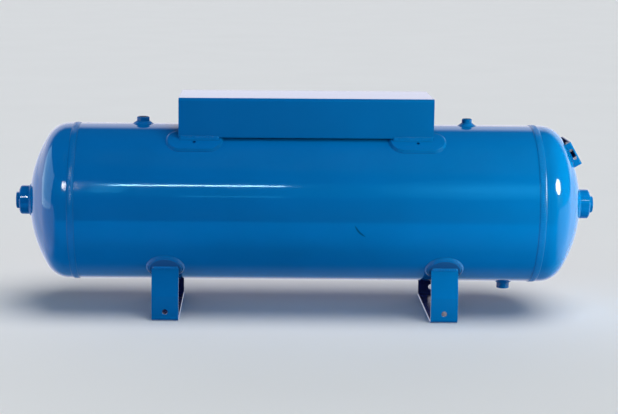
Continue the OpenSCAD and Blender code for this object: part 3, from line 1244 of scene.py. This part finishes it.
def strip(path: Outline, radii: Sequence[float], thickness: float, edge_r: float,
          inner_ends: Outline | None = None) -> Outline:
    """Outline of a bent strip of sheet metal.

    Args:
        path: Corners of the strip's outer face, so that the metal lies to the left of the way.
        radii: Outside bend radius at each corner; the two ends take 0.
        thickness: Thickness of the sheet.
        edge_r: Rounded edges of both free ends.
        inner_ends: First and last corner of the inner face, where the ends are cut at a slant.

    Returns:
        The closed outline, anticlockwise.
    """
    inner_path: Outline = []
    count = len(path)
    for i in range(count):
        here = Vector(path[i])
        ways = []
        if i > 0:
            ways.append((here - Vector(path[i - 1])).normalized())
        if i < count - 1:
            ways.append((Vector(path[i + 1]) - here).normalized())
        side = sum((Vector((-w.y, w.x)) for w in ways), Vector((0.0, 0.0)))
        share = 1 + ways[0].dot(ways[-1])
        moved = here + side * thickness * (1.0 if len(ways) == 1 else 1 / share)
        inner_path.append((moved.x, moved.y))
    if inner_ends:
        inner_path[0], inner_path[-1] = inner_ends
    corners = path + inner_path[::-1]
    inner_radii = [max(r - thickness, 0.5 * MM) if r > 0 else edge_r for r in radii]
    outer_radii = [r if r > 0 else edge_r for r in radii]
    return rounded(corners, outer_radii + inner_radii[::-1], 8)


@dataclass
class Platform:
    """The folded platform on top of the tank and its welds.

    Attributes:
        thickness: Plate thickness.
        bend_r: Outside radius of the long bends.
        edge_r: Rounding of the sheared edges.
        weld_w: Width of its welds on the pads.
        weld_h: Height of its welds on the plate.
    """

    thickness: float = 5.0 * MM
    bend_r: float = 8.0 * MM
    edge_r: float = 0.7 * MM
    weld_w: float = 6.0 * MM
    weld_h: float = 5.0 * MM

    def build(self) -> None:
        """Makes the folded plate and lays its welds."""
        low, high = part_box("platform")
        path = [(high.y, low.z), (high.y, high.z), (low.y, high.z), (low.y, low.z)]
        outline = strip(path, [0.0, self.bend_r, self.bend_r, 0.0], self.thickness, 1.4 * self.edge_r)
        draft = bar(lambda _: outline, low.x, high.x, self.edge_r, upright)
        piece = draft.build("folded_platform", PLATE_PAINT, 50.0)
        flatten_sides(piece)
        hand_over(piece, PLATE_PAINT, "platform")
        for end in End:
            for face in Face:
                self._weld(end, face, low, high)

    def _weld(self, end: End, face: Face, low: Vector, high: Vector) -> None:
        """Lays the fillet weld between one edge of the platform and a pad.

        Args:
            end: End of the tank.
            face: Long side of the tank.
            low: Lowest corner of the platform.
            high: Highest corner of the platform.
        """
        place = f"{face.word}_{end.word}"
        start = min(abs(corner.x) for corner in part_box(f"{place}_platform_pad")) + 6 * MM
        stop = high.x - 2 * MM
        y = high.y + GAUGE.seat / 2
        r = GAUGE.pad_top_r + GAUGE.seat / 2
        toe_y = y + self.weld_w
        floor = GAUGE.axis_z + math.sqrt(r ** 2 - y ** 2)
        toe_z = GAUGE.axis_z + math.sqrt(r ** 2 - toe_y ** 2)
        count = round((stop - start) / Ripple.COARSE.value) * 8
        seams = []
        for i in range(count + 1):
            x = start + (stop - start) * i / count
            wobble = 1 + 0.2 * noise.noise(Vector((x * 40, end.value, face.value)))
            top = low.z + self.weld_h * wobble
            seams.append(Seam(Vector((end.value * x, face.value * y, floor)),
                              Vector((end.value * x, face.value * toe_y, toe_z)),
                              Vector((end.value * x, face.value * y, top)), x - start))
        bead = FilletBead(Ripple.COARSE, height=0.7 * MM, belly=0.4 * MM)
        piece = bead.draft(seams, False).build(f"{place}_platform_bead", WELD_PAINT)
        hand_over(piece, WELD_PAINT, f"{place}_platform_weld")


@dataclass
class Pad:
    """A pad that is rolled to the shell, with the weld round it.

    Attributes:
        node: CAD node of the pad.
        angle: Angle of its middle round the shell from the top, in degrees, at the front.
        length: Length along the tank.
        width: Width round the shell.
        corner_r: Corner radius of its outline.
        hole_drop: Distance of the tell-tale hole from the pad's middle line, or 0 for no hole.
        hole_r: Radius of that hole.
        edge_r: Rounded outer edge.
        weld: Size of the fillet weld round the pad.
        gloom: Share of painted shade on its face, for the shade above a foot's leg.
    """

    node: str
    angle: float
    length: float
    width: float
    corner_r: float
    hole_drop: float = 0.0
    hole_r: float = 4.0 * MM
    edge_r: float = 2.0 * MM
    weld: float = 4.0 * MM
    gloom: float = 0.0

    def __post_init__(self) -> None:
        """Reads the pad's place from the frame."""
        low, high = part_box(self.node)
        self._x = (low.x + high.x) / 2
        self._face = -1.0 if (low.y + high.y) < 0 else 1.0

    def build(self) -> None:
        """Makes the pad and its weld."""
        outline = self._outline()
        self._plate(outline)
        self._weld(outline)

    def _outline(self) -> Outline:
        """Outline of the pad, split into short stretches of like length."""
        stretch = 2.5 * MM
        least = 0.01 * MM
        arcs = rounded(oblong(self.length, self.width), [self.corner_r] * 4, 24)
        spaced = split(arcs, lambda gap: max(1, round(gap / stretch)))
        return [p for i, p in enumerate(spaced) if math.dist(p, spaced[i - 1]) > least]

    def _place(self, u: float, v: float, radius: float) -> Vector:
        """Places a point of the pad.

        Args:
            u: Distance along the tank from the pad's middle.
            v: Distance across the pad from its middle, growing downwards.
            radius: Distance from the tank's axis.

        Returns:
            The point, in the row frame.
        """
        angle = math.radians(self.angle) + math.asin(v / radius)
        point = GAUGE.on_shell(self._x + u, angle, radius)
        return Vector((point.x, -self._face * point.y, point.z))

    def _plate(self, outline: Outline) -> None:
        """Makes the plate of the pad, with its rounded edge and tell-tale hole.

        Args:
            outline: Outline of the pad.
        """
        bottom, top = GAUGE.shell_r + GAUGE.seat / 2, GAUGE.pad_top_r
        edge_steps = 4
        bevel = 0.5 * MM
        rings = [(outline, bottom)]
        for k in range(edge_steps + 1):
            turn = math.pi / 2 * k / edge_steps
            rings.append((inset(outline, self.edge_r * (1 - math.cos(turn))),
                          top - self.edge_r * (1 - math.sin(turn))))
        flat = inset(outline, self.edge_r)
        hole, rim = (self._circle(flat, radius) for radius in (self.hole_r, self.hole_r + bevel))
        for share in (0.1, 0.3, 0.55, 0.8):
            rings.append(([(a + (c - a) * share, b + (d - b) * share)
                           for (a, b), (c, d) in zip(flat, rim)], top))
        if self.hole_drop:
            rings += [(rim, top), (hole, top - bevel), (hole, bottom)]
        draft = Draft()
        rows = [draft.row([self._place(u, v, radius) for u, v in ring]) for ring, radius in rings]
        draft.skin(rows, along=bool(self.hole_drop))
        if not self.hole_drop:
            draft.fan(rows[-1], self._place(0.0, 0.0, top))
            draft.lid(rows[0])
            # A pad without a hole takes painted shade over its face.
            for row in rows[edge_steps + 1:]:
                draft.toe.update((index, self.gloom) for index in row)
        piece = draft.build(f"{self.node}_plate", PLATE_PAINT)
        hand_over(piece, PLATE_PAINT, self.node)

    def _circle(self, flat: Outline, radius: float) -> Outline:
        """Points of a circle round the tell-tale hole, each on the way to a point of the pad's edge."""
        middle = Vector((0.0, self.hole_drop))
        return [tuple(middle + (Vector(p) - middle) * radius / (Vector(p) - middle).length) for p in flat]

    def _weld(self, outline: Outline) -> None:
        """Lays the fillet weld round the pad.

        Args:
            outline: Outline of the pad.
        """
        fine = split(outline, lambda _: 5)
        outer = inset(fine, -self.weld)
        radius = GAUGE.shell_r + GAUGE.seat / 2
        total = sum(math.dist(p, fine[i - 1]) for i, p in enumerate(fine))
        stretch = round(total / Ripple.MEDIUM.value) * Ripple.MEDIUM.value / total
        along = 0.0
        seams = []
        for i, ((u, v), (s, t)) in enumerate(zip(fine, outer)):
            along += math.dist(fine[i], fine[i - 1]) * stretch if i else 0.0
            seams.append(Seam(self._place(u, v, radius), self._place(s, t, radius),
                              self._place(u, v, radius + self.weld), along))
        bead = FilletBead(height=0.35 * MM, belly=0.25 * MM, across=6)
        hand_over(bead.draft(seams, True).build(f"{self.node}_bead", WELD_PAINT), WELD_PAINT)


@dataclass
class Foot:
    """A foot bent from one flat strap, with an anchor hole in each leg.

    Attributes:
        end: The end of the tank.
        thickness: Thickness of the strap.
        bend_r: Outside radius of the bends at the floor.
        crease_r: Outside radius of the crease half way up a leg.
        crease_z: Height of the crease above the floor.
        lean: Lean of a leg above its crease, in degrees.
        hole_r: Radius of an anchor hole.
        hole_z: Height of the anchor holes above the floor.
        edge_r: Rounded edges of the strap.
        weld: Size of the fillet weld on each leg.
    """

    end: End
    thickness: float = 6.0 * MM
    bend_r: float = 11.0 * MM
    crease_r: float = 7.0 * MM
    crease_z: float = 64.0 * MM
    lean: float = 12.5
    hole_r: float = 7.0 * MM
    hole_z: float = 24.0 * MM
    edge_r: float = 1.0 * MM
    weld: float = 5.0 * MM

    def __post_init__(self) -> None:
        """Reads the foot's place and width from the frame."""
        low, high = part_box(f"{self.end.word}_foot")
        self._low_x, self._high_x = low.x, high.x
        self._half = (high.y - low.y) / 2

    def build(self) -> None:
        """Makes the strap, drills it and lays the welds at its tops."""
        outline = self._outline()
        middle_z = 80 * MM
        draft = bar(lambda _: outline, self._low_x, self._high_x, self.edge_r, upright)
        piece = draft.build(f"{self.end.word}_strap_foot", PLATE_PAINT)
        drill(piece, self._cutter((self._low_x + self._high_x) / 2))
        # The faces inside the strap take painted shade.
        finish_bent(piece, lambda point: Vector((point.x, 0.0, middle_z)))
        hand_over(piece, PLATE_PAINT, f"{self.end.word}_foot")
        for face in Face:
            self._weld(face)

    def _meet(self, start: Vector, radius: float) -> Vector:
        """Where a leaning line up from a point meets a circle round the tank's axis.

        Args:
            start: Point (distance from the middle, height) on the line.
            radius: Radius of the circle.

        Returns:
            The meeting point.
        """
        way = Vector((-math.sin(math.radians(self.lean)), math.cos(math.radians(self.lean))))
        rel = start - Vector((0.0, GAUGE.axis_z))
        half_b = rel.dot(way)
        root = math.sqrt(half_b ** 2 - (rel.dot(rel) - radius ** 2))
        return start + way * (-half_b - root)

    def _outline(self) -> Outline:
        """Side view of the foot, anticlockwise, with rounded edges and bends."""
        t = self.thickness
        r = GAUGE.pad_top_r + GAUGE.seat / 2
        inner_z = self.crease_z - t * math.tan(math.radians(self.lean / 2))
        outer = self._meet(Vector((self._half, self.crease_z)), r)
        inner = self._meet(Vector((self._half - t, inner_z)), r)
        leg = [(self._half, 0.0), (self._half, self.crease_z), (outer.x, outer.y)]
        path = [(-y, z) for y, z in reversed(leg)] + leg
        radii = [0.0, self.crease_r, self.bend_r, self.bend_r, self.crease_r, 0.0]
        ends = [(-inner.x, inner.y), (inner.x, inner.y)]
        return strip(path, radii, t, 1.4 * self.edge_r, ends)

    def _cutter(self, x: float) -> Piece:
        """Makes the cutter of both anchor holes, flared where it leaves the metal.

        Args:
            x: Place of the foot along the tank.

        Returns:
            The cutter.
        """
        flare = 0.6 * MM
        wide = self.hole_r + 2 * flare
        outer, inner = self._half, self._half - self.thickness
        rear = [(wide, inner - flare), (self.hole_r, inner + flare),
                (self.hole_r, outer - flare), (wide, outer + flare)]
        profile = [(r, -y) for r, y in reversed(rear)] + rear
        draft = Draft()
        rows = lathe(draft, profile, 48, lambda r, a, y: Vector(
            (x + r * math.cos(a), y, self.hole_z + r * math.sin(a))))
        draft.skin(rows)
        draft.lid(rows[0])
        draft.lid(rows[-1])
        return draft.build("hole_cutter", PLATE_PAINT)

    def _weld(self, face: Face) -> None:
        """Lays the fillet weld between the top of a leg and its pad.

        Args:
            face: Front or rear leg.
        """
        r = GAUGE.pad_top_r + GAUGE.seat / 2
        start = Vector((self._half, self.crease_z))
        top = self._meet(start, r)
        toe_angle = math.atan2(top.x, top.y - GAUGE.axis_z) - self.weld / r
        wall = top + (start - top).normalized() * self.weld + Vector((GAUGE.seat / 2, 0.0))
        low, high = self._low_x + 2 * MM, self._high_x - 2 * MM
        count = round((high - low) / Ripple.COARSE.value) * 8
        seams = []
        for i in range(count + 1):
            x = low + (high - low) * i / count
            toe = Vector((x, face.value * r * math.sin(toe_angle),
                          GAUGE.axis_z + r * math.cos(toe_angle)))
            seams.append(Seam(Vector((x, face.value * top.x, top.y)), toe,
                              Vector((x, face.value * wall.x, wall.y)), x - low))
        bead = FilletBead(Ripple.COARSE, height=0.5 * MM, belly=0.5 * MM)
        place = f"{face.word}_{self.end.word}"
        piece = bead.draft(seams, False).build(f"{place}_leg_bead", WELD_PAINT)
        hand_over(piece, WELD_PAINT, f"{place}_leg_weld")


@dataclass
class NameplateBracket:
    """The shallow channel on the right head that carries a nameplate.

    Attributes:
        width: Width from front to back.
        length: Height of its face along the head.
        thickness: Plate thickness.
        bend_r: Outside radius of its two bends.
        drop: Distance of its middle below the top of the shell.
        lean: Extra lean against the head, in degrees.
        rise: Height of its face above the head.
        slot_len: Length of the slot in each side.
        slot_w: Width of that slot.
        edge_r: Rounding of the sheared edges.
    """

    width: float = 114.0 * MM
    length: float = 64.0 * MM
    thickness: float = 3.0 * MM
    bend_r: float = 5.0 * MM
    drop: float = 61.0 * MM
    lean: float = 4.5
    rise: float = 13.0 * MM
    slot_len: float = 30.0 * MM
    slot_w: float = 10.0 * MM
    edge_r: float = 0.5 * MM

    def __post_init__(self) -> None:
        """Works out where the bracket stands."""
        self._matrix = self._stand()
        self._back = self._matrix.inverted()

    def build(self) -> None:
        """Makes the channel and cuts its slots."""
        half = self.length / 2
        draft = bar(self._section, -half, half, self.edge_r, self._place, 24)
        piece = draft.build("nameplate_channel", PLATE_PAINT)
        drill(piece, self._cutter())
        # The faces inside the channel take painted shade.
        finish_bent(piece, self._middle)
        hand_over(piece, PLATE_PAINT, "nameplate_bracket")

    def _place(self, x: float, y: float, z: float) -> Vector:
        """Places a point of the bracket: down the head, across and off the head."""
        return self._matrix @ Vector((x, y, z))

    def _stand(self) -> Matrix:
        """Where the middle of the bracket's face stands: X down the head, Z off the head."""
        angle = math.asin((GAUGE.shell_r - self.drop) / (GAUGE.crown_r + self.rise))
        return (Matrix.Translation((GAUGE.crown_x, 0.0, GAUGE.axis_z))
                @ Matrix.Rotation(math.pi / 2 - angle, 4, "Y")
                @ Matrix.Translation((0.0, 0.0, GAUGE.crown_r + self.rise))
                @ Matrix.Rotation(-math.radians(self.lean), 4, "Y"))

    def _middle(self, point: Vector) -> Vector:
        """The middle of the channel beside a point of it, half way down to the head."""
        return self._place((self._back @ point).x, 0.0, -self.rise / 2 - self.thickness)

    def _foot(self, x: float, y: float) -> float:
        """Height at which a side meets the head, against the bracket's face.

        Args:
            x: Place along the bracket.
            y: Place across the bracket.

        Returns:
            The height, which is negative.
        """
        centre = self._back @ Vector((GAUGE.crown_x, 0.0, GAUGE.axis_z))
        r = GAUGE.crown_r + GAUGE.seat / 2
        return centre.z + math.sqrt(r ** 2 - (x - centre.x) ** 2 - (y - centre.y) ** 2)

    def _section(self, x: float) -> Outline:
        """Section of the channel at a place along it, anticlockwise.

        Args:
            x: Place along the bracket.

        Returns:
            The outline across and up.
        """
        outer, inner = self.width / 2, self.width / 2 - self.thickness
        low_outer, low_inner = self._foot(x, outer), self._foot(x, inner)
        path = [(outer, low_outer), (outer, 0.0), (-outer, 0.0), (-outer, low_outer)]
        ends = [(inner, low_inner), (-inner, low_inner)]
        return strip(path, [0.0, self.bend_r, self.bend_r, 0.0], self.thickness, 1.4 * self.edge_r, ends)

    def _cutter(self) -> Piece:
        """Makes the cutter of both slots."""
        corner_r = self.slot_w / 2 - 0.1 * MM
        outline = rounded(oblong(self.slot_len, self.slot_w), [corner_r] * 4, 8)
        level = -self.rise / 2 - self.thickness
        draft = Draft()
        rows = [draft.row([self._place(u, y, v + level) for u, v in outline])
                for y in (-self.width, self.width)]
        draft.skin(rows)
        draft.lid(rows[0])
        draft.lid(rows[1])
        return draft.build("slot_cutter", PLATE_PAINT)


@dataclass(frozen=True)
class SoftBox:
    """One studio light.

    Attributes:
        name: Name of the light.
        place: Where it stands.
        aim: Point that it faces.
        width: Width of its face.
        height: Height of its face.
        power: Power in watts.
        mirrored: Whether glossy surfaces show the light itself.
        lights: Whether it lights the tank and the floor.
        spread: Width of its beam, in degrees.
        colour: Colour of its light.
        shape: Outline of its face.
        reach: Pieces that it reaches.
    """

    name: str
    place: Point
    aim: Point
    width: float
    height: float
    power: float
    mirrored: bool = False
    lights: bool = True
    spread: float = 180.0
    colour: Colour = (1.0, 1.0, 1.0)
    shape: LampShape = LampShape.BOX
    reach: Reach = Reach.TANK

    def build(self) -> None:
        """Sets the light up, out of the camera's sight."""
        light = bpy.data.lights.new(self.name, "AREA")
        light.shape = self.shape.value
        light.size = self.width
        light.size_y = self.height
        light.energy = self.power
        light.color = self.colour
        light.spread = math.radians(self.spread)
        lamp = bpy.data.objects.new(self.name, light)
        lamp.location = self.place
        way = Vector(self.aim) - Vector(self.place)
        lamp.rotation_euler = way.to_track_quat("-Z", "Y").to_euler()
        lamp.visible_camera = False
        lamp.visible_glossy = self.mirrored
        lamp.visible_diffuse = self.lights
        bpy.context.scene.collection.objects.link(lamp)
        if self.reach.value:
            lamp.light_linking.receiver_collection = self._lit_pieces()

    def _lit_pieces(self) -> bpy.types.Collection:
        """Gathers the pieces that the light reaches; none of them is the floor."""
        lit = bpy.data.collections.new(f"{self.name}_pieces")
        for part in bpy.data.objects:
            chosen = any(fnmatch(part.name, pattern) for pattern in self.reach.value)
            if part.type == "MESH" and part.name != "floor" and chosen:
                lit.objects.link(part)
        return lit


@dataclass(frozen=True)
class MirrorPanel(SoftBox):
    """A studio light that only shows as its mirror image in the paint.

    Attributes:
        mirrored: Whether glossy surfaces show the light itself.
        lights: Whether it lights the tank and the floor.
    """

    mirrored: bool = True
    lights: bool = False


BLUE_WHITE = (0.38, 0.77, 1.0)
PALE_BLUE = (0.05, 0.60, 1.0)
SOFT_BOXES = (
    SoftBox("key_softbox", (1.9, -1.1, 0.75), (0.8, 0.0, 0.3), 0.9, 0.8, 7.2, spread=60.0,
            colour=(0.85, 1.0, 0.72)),
    SoftBox("fill_softbox", (-0.4, -3.6, 0.8), (0.0, 0.0, 0.3), 3.0, 1.8, 2.0,
            colour=(0.92, 0.95, 1.0), reach=Reach.EVERYTHING),
    SoftBox("right_softbox", (2.62, -0.05, 0.43), (0.65, -0.1, 0.33), 1.0, 0.8, 25.0,
            colour=(0.95, 1.0, 0.68)),
    SoftBox("left_softbox", (-2.6, -0.45, 0.85), (-0.6, 0.0, 0.4), 2.0, 1.0, 21.0),
    SoftBox("left_low_panel", (-0.62, -0.42, 0.01), (-0.62, -0.42, 0.5), 0.6, 0.3, 0.38),
    SoftBox("right_low_panel", (0.58, -0.42, 0.01), (0.58, -0.42, 0.5), 0.6, 0.3, 0.50),
)
MIRROR_PANELS = (
    MirrorPanel("left_wall_panel", (-2.6, -0.1, 0.95), (-0.6, -0.1, 0.4), 2.6, 1.9, 46.0,
                colour=(0.55, 0.88, 1.0), reach=Reach.LEFT_HEAD),
    MirrorPanel("right_spot_panel", (2.21, -1.62, 1.46), (0.63, -0.19, 0.36), 1.0, 0.9, 100.0,
                shape=LampShape.OVAL, reach=Reach.RIGHT_END),
    MirrorPanel("tube_light", (-0.378, -2.6, 1.82), (-0.378, 0.0, 0.35), 0.736, 0.05, 12.5,
                colour=BLUE_WHITE, reach=Reach.BARREL),
    MirrorPanel("low_tube_light", (-0.22, -2.6, 1.0), (-0.22, 0.0, 0.33), 0.42, 0.09, 0.4,
                colour=PALE_BLUE, reach=Reach.BARREL),
    MirrorPanel("left_spot_panel", (-0.945, -2.35, 1.585), (-0.945, 0.0, 0.9), 0.10, 0.64, 8.0,
                shape=LampShape.OVAL, reach=Reach.LEFT_END),
    MirrorPanel("left_dim_panel", (-0.73, -2.45, 1.5), (-0.5, -0.2, 0.35), 0.13, 0.62, 1.0,
                colour=PALE_BLUE, reach=Reach.BARREL),
    MirrorPanel("left_fitting_light", (-1.15, -2.6, 1.82), (-0.725, 0.0, 0.29), 0.05, 0.5, 4.0,
                reach=Reach.FITTINGS),
    MirrorPanel("right_fitting_light", (1.4, -2.6, 2.28), (0.735, 0.0, 0.3), 0.05, 0.4, 1.6,
                reach=Reach.FITTINGS),
    MirrorPanel("right_dim_panel", (0.77, -2.4, 1.5), (0.47, -0.2, 0.35), 0.80, 1.3, 2.7,
                colour=PALE_BLUE, shape=LampShape.OVAL, reach=Reach.BARREL),
    MirrorPanel("right_mid_panel", (0.84, -2.4, 1.5), (0.49, -0.2, 0.35), 0.68, 0.85, 1.5,
                colour=PALE_BLUE, shape=LampShape.OVAL, reach=Reach.BARREL),
    MirrorPanel("right_core_panel", (0.9, -2.4, 1.52), (0.5, -0.2, 0.35), 0.54, 0.45, 0.85,
                colour=PALE_BLUE, shape=LampShape.OVAL, reach=Reach.BARREL),
)


@dataclass(frozen=True)
class Surroundings:
    """What the paint mirrors: a pale backdrop, a dim room before it and the ground.

    A span holds the X, Y or Z part of a direction where something begins and where it is full.

    Attributes:
        sky: Colour of the backdrop.
        strength: Strength of the whole.
        room_share: Brightness of the rest of the room, as a share of the backdrop.
        backdrop_y: Span of the backdrop towards the rear.
        backdrop_skew: Change of that span from left to right.
        backdrop_z: Span of the backdrop down to the floor.
        backdrop_low: Brightness of the backdrop near the floor, as a share of the sky.
        backdrop_rise: Height of the backdrop as a share of its distance.
        lamp_glow: Colour of the band of lamps above the camera.
        lamp_z: Lower and upper edge of that band.
        lamp_soft: Half width of its soft edges.
        lamp_y: Span of the band towards the front.
        front_ground: Colour of the ground in front.
        under_ground: Colour of the ground under the tank.
        rear_ground: Colour of the ground behind the tank.
        far_ground: Colour of the ground aside and farther behind.
        rear_y: Span of the ground behind.
        front_y: Span of the ground in front.
        aside_x: Span of the ground aside.
        beyond_y: Span of the ground farther behind, towards the rear.
        beyond_z: Span of that ground, upwards.
        beyond_share: Share of the far colour straight behind the tank.
        ground_edge: How far down the ground in front begins.
        edge_y: Span over which that edge comes back to the level.
        edge_z: Span of the edge itself.
    """

    sky: Colour = (0.94, 0.91, 0.98)
    strength: float = 1.0
    room_share: float = 0.03
    backdrop_y: Span = (0.43, 0.62)
    backdrop_skew: float = -0.2
    backdrop_z: Span = (0.12, -0.16)
    backdrop_low: float = 1.35
    backdrop_rise: float = 0.75
    lamp_glow: Colour = (0.03, 0.50, 0.75)
    lamp_z: Span = (0.26, 0.58)
    lamp_soft: float = 0.03
    lamp_y: Span = (-0.5, -0.7)
    front_ground: Colour = (0.01, 1.20, 3.30)
    under_ground: Colour = (0.01, 0.18, 0.42)
    rear_ground: Colour = (0.20, 0.45, 0.75)
    far_ground: Colour = (1.25, 1.16, 1.30)
    rear_y: Span = (0.05, 0.50)
    front_y: Span = (-0.30, -0.85)
    aside_x: Span = (0.55, 0.78)
    beyond_y: Span = (0.0, 0.35)
    beyond_z: Span = (-0.74, -0.42)
    beyond_share: float = 0.62
    ground_edge: float = 0.36
    edge_y: Span = (-0.8, 0.0)
    edge_z: Span = (0.02, -0.02)

    def build(self) -> None:
        """Sets the world."""
        graph = Graph(bpy.data.worlds.new("studio"))
        way = graph.node("SeparateXYZ", {"Vector": graph.node("TexCoord").outputs["Generated"]})
        x, y, z = way.outputs["X"], way.outputs["Y"], way.outputs["Z"]
        aside = graph.step(graph.math("ABSOLUTE", x), *self.aside_x)
        ahead = graph.math("MAXIMUM", aside, graph.step(y, *self.edge_y))
        edge = graph.math("MULTIPLY", graph.math("SUBTRACT", 1.0, ahead), self.ground_edge)
        under = graph.step(graph.math("ADD", z, edge), *self.edge_z)
        tint = graph.mix(under, self._above(graph, x, y, z), self._ground(graph, aside, y, z))
        bpy.context.scene.world = graph.close(graph.node(
            "Background", {"Color": tint, "Strength": self.strength}))

    def _above(self, graph: Graph, x: Socket, y: Socket, z: Socket) -> Socket:
        """Colours what lies above the ground.

        Args:
            graph: Graph of the world.
            x: Part of the direction along the tank.
            y: Part of the direction towards the rear.
            z: Part of the direction upwards.

        Returns:
            The colour.
        """
        behind = graph.step(graph.math("MULTIPLY_ADD", x, self.backdrop_skew, y), *self.backdrop_y)
        low = graph.step(graph.math("MULTIPLY_ADD", y, -self.backdrop_rise, z), *self.backdrop_z)
        wall = graph.math("MULTIPLY", behind, low)
        bottom, top = self.lamp_z
        lamps = graph.math("MULTIPLY", graph.step(z, bottom - self.lamp_soft, bottom + self.lamp_soft),
                           graph.step(z, top + self.lamp_soft, top - self.lamp_soft))
        lamps = graph.math("MULTIPLY", lamps, graph.step(y, *self.lamp_y))
        room = graph.mix(lamps, shade(self.sky, self.room_share), shade(self.lamp_glow, 1.0))
        return graph.mix(wall, room, shade(self.sky, self.backdrop_low))

    def _ground(self, graph: Graph, aside: Socket, y: Socket, z: Socket) -> Socket:
        """Colours the ground.

        Args:
            graph: Graph of the world.
            aside: How far a direction points aside, from 0 to 1.
            y: Part of the direction towards the rear.
            z: Part of the direction upwards.

        Returns:
            The colour.
        """
        ground = graph.mix(graph.step(y, *self.rear_y), shade(self.under_ground, 1.0),
                           shade(self.rear_ground, 1.0))
        ground = graph.mix(graph.step(y, *self.front_y), ground, shade(self.front_ground, 1.0))
        beyond = graph.math("MULTIPLY", graph.step(y, *self.beyond_y), graph.step(z, *self.beyond_z))
        far = graph.math("MAXIMUM", aside, graph.math("MULTIPLY", beyond, self.beyond_share))
        return graph.mix(far, ground, shade(self.far_ground, 1.0))


@dataclass(frozen=True)
class PhotoCamera:
    """The camera, fitted to the photograph.

    Attributes:
        focal_px: Focal length in pixels of the photograph.
        frame_px: Width of the photograph in pixels.
        axis_px: Column of the photograph that the camera's axis meets.
        place: Where the camera stands.
        elevation: How far the camera looks down, in degrees.
        yaw: How far the camera looks to the side, in degrees.
        roll: How far the camera leans, in degrees.
        sensor: Width of the camera's sensor, in millimetres.
        far: How far the camera sees.
    """

    focal_px: float = 1600.0
    frame_px: float = 618.0
    axis_px: float = 241.5
    place: Point = (-0.1272, -4.137, 0.9664)
    elevation: float = 9.57
    yaw: float = -0.5
    roll: float = 0.36
    sensor: float = 36.0
    far: float = 200.0

    def build(self) -> None:
        """Stands the camera where the photograph was taken from."""
        yaw, tilt, roll = (math.radians(a) for a in (self.yaw, self.elevation, self.roll))
        ahead = Vector((math.sin(yaw) * math.cos(tilt), math.cos(yaw) * math.cos(tilt), -math.sin(tilt)))
        right = Vector((math.cos(yaw), -math.sin(yaw), 0.0))
        up = right.cross(ahead)
        side = right * math.cos(roll) + up * math.sin(roll)
        top = -right * math.sin(roll) + up * math.cos(roll)
        turn = Matrix((side, top, -ahead)).transposed().to_4x4()
        camera = bpy.data.objects.new("camera", bpy.data.cameras.new("camera"))
        camera.data.sensor_width = self.sensor
        camera.data.lens = self.focal_px / self.frame_px * self.sensor
        camera.data.shift_x = (self.frame_px / 2 - self.axis_px) / self.frame_px
        camera.data.clip_end = self.far
        camera.matrix_world = Matrix.Translation(self.place) @ turn
        bpy.context.scene.collection.objects.link(camera)
        bpy.context.scene.camera = camera


@dataclass(frozen=True)
class Studio:
    """Floor, surroundings, lights and camera.

    Attributes:
        floor_size: Width of the floor.
        sun_strength: Strength of the even light over the floor.
        sun_angle: Width of that light, in degrees.
        sun_from: Direction that it comes from.
    """

    floor_size: float = 60.0
    sun_strength: float = 2.2
    sun_angle: float = 50.0
    sun_from: Point = (0.3, -0.25, 1.0)

    def build(self) -> None:
        """Lays the floor, hangs the lights and stands the camera."""
        self._colours()
        self._floor()
        Surroundings().build()
        self._sun()
        for light in SOFT_BOXES + MIRROR_PANELS:
            light.build()
        PhotoCamera().build()

    @staticmethod
    def _colours() -> None:
        """Shows colours as they are, without a film curve."""
        view = bpy.context.scene.view_settings
        view.view_transform = "Standard"
        view.look = "None"

    def _floor(self) -> None:
        """Lays a plain pale floor at the level of the feet."""
        mesh = bpy.data.meshes.new("floor")
        corners = oblong(self.floor_size, self.floor_size)
        mesh.from_pydata([(x, y, 0.0) for x, y in corners], [], [(0, 1, 2, 3)])
        mesh.materials.append(StudioPaper().material())
        floor = bpy.data.objects.new("floor", mesh)
        bpy.context.scene.collection.objects.link(floor)
        floor.visible_glossy = False

    def _sun(self) -> None:
        """Hangs one wide, even light over the whole floor."""
        light = bpy.data.lights.new("even_light", "SUN")
        light.energy = self.sun_strength
        light.angle = math.radians(self.sun_angle)
        lamp = bpy.data.objects.new("even_light", light)
        lamp.rotation_euler = (-Vector(self.sun_from)).to_track_quat("-Z", "Y").to_euler()
        lamp.visible_glossy = False
        bpy.context.scene.collection.objects.link(lamp)


def platform_pads() -> list[Pad]:
    """The four oblong pads under the platform, each with its tell-tale hole."""
    length, width, corner_r = 138 * MM, 74 * MM, 34 * MM
    _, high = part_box("platform")
    angle = math.degrees(math.asin(high.y / GAUGE.pad_top_r))
    return [Pad(f"{face.word}_{end.word}_platform_pad", angle, length, width, corner_r, hole_drop=12 * MM)
            for face in Face for end in End]


def foot_pads() -> list[Pad]:
    """The four round pads above the feet, with painted shade on their faces."""
    size = 89 * MM
    corner_r = size / 2 - 0.5 * MM
    angle = 137.4
    return [Pad(f"{face.word}_{end.word}_foot_pad", angle, size, size, corner_r, edge_r=5 * MM,
                weld=5 * MM, gloom=0.8) for face in Face for end in End]


def main() -> None:
    """Dresses the tank from the vessel outwards and sets up the studio."""
    logging.basicConfig(level=logging.INFO, format="%(name)s: %(message)s")
    Vessel().build()
    for end in End:
        EndFitting(end).build()
        Foot(end).build()
    ThreadedPort("left_top_port", "left_port_weld", 12.1 * MM).build()
    ThreadedPort("right_top_port", "right_port_weld", 9.3 * MM).build()
    ThreadedPort("drain_port", "drain_weld", 12.1 * MM).build()
    Platform().build()
    for pad in platform_pads() + foot_pads():
        pad.build()
    NameplateBracket().build()
    Studio().build()


if __name__ == "__main__":
    main()
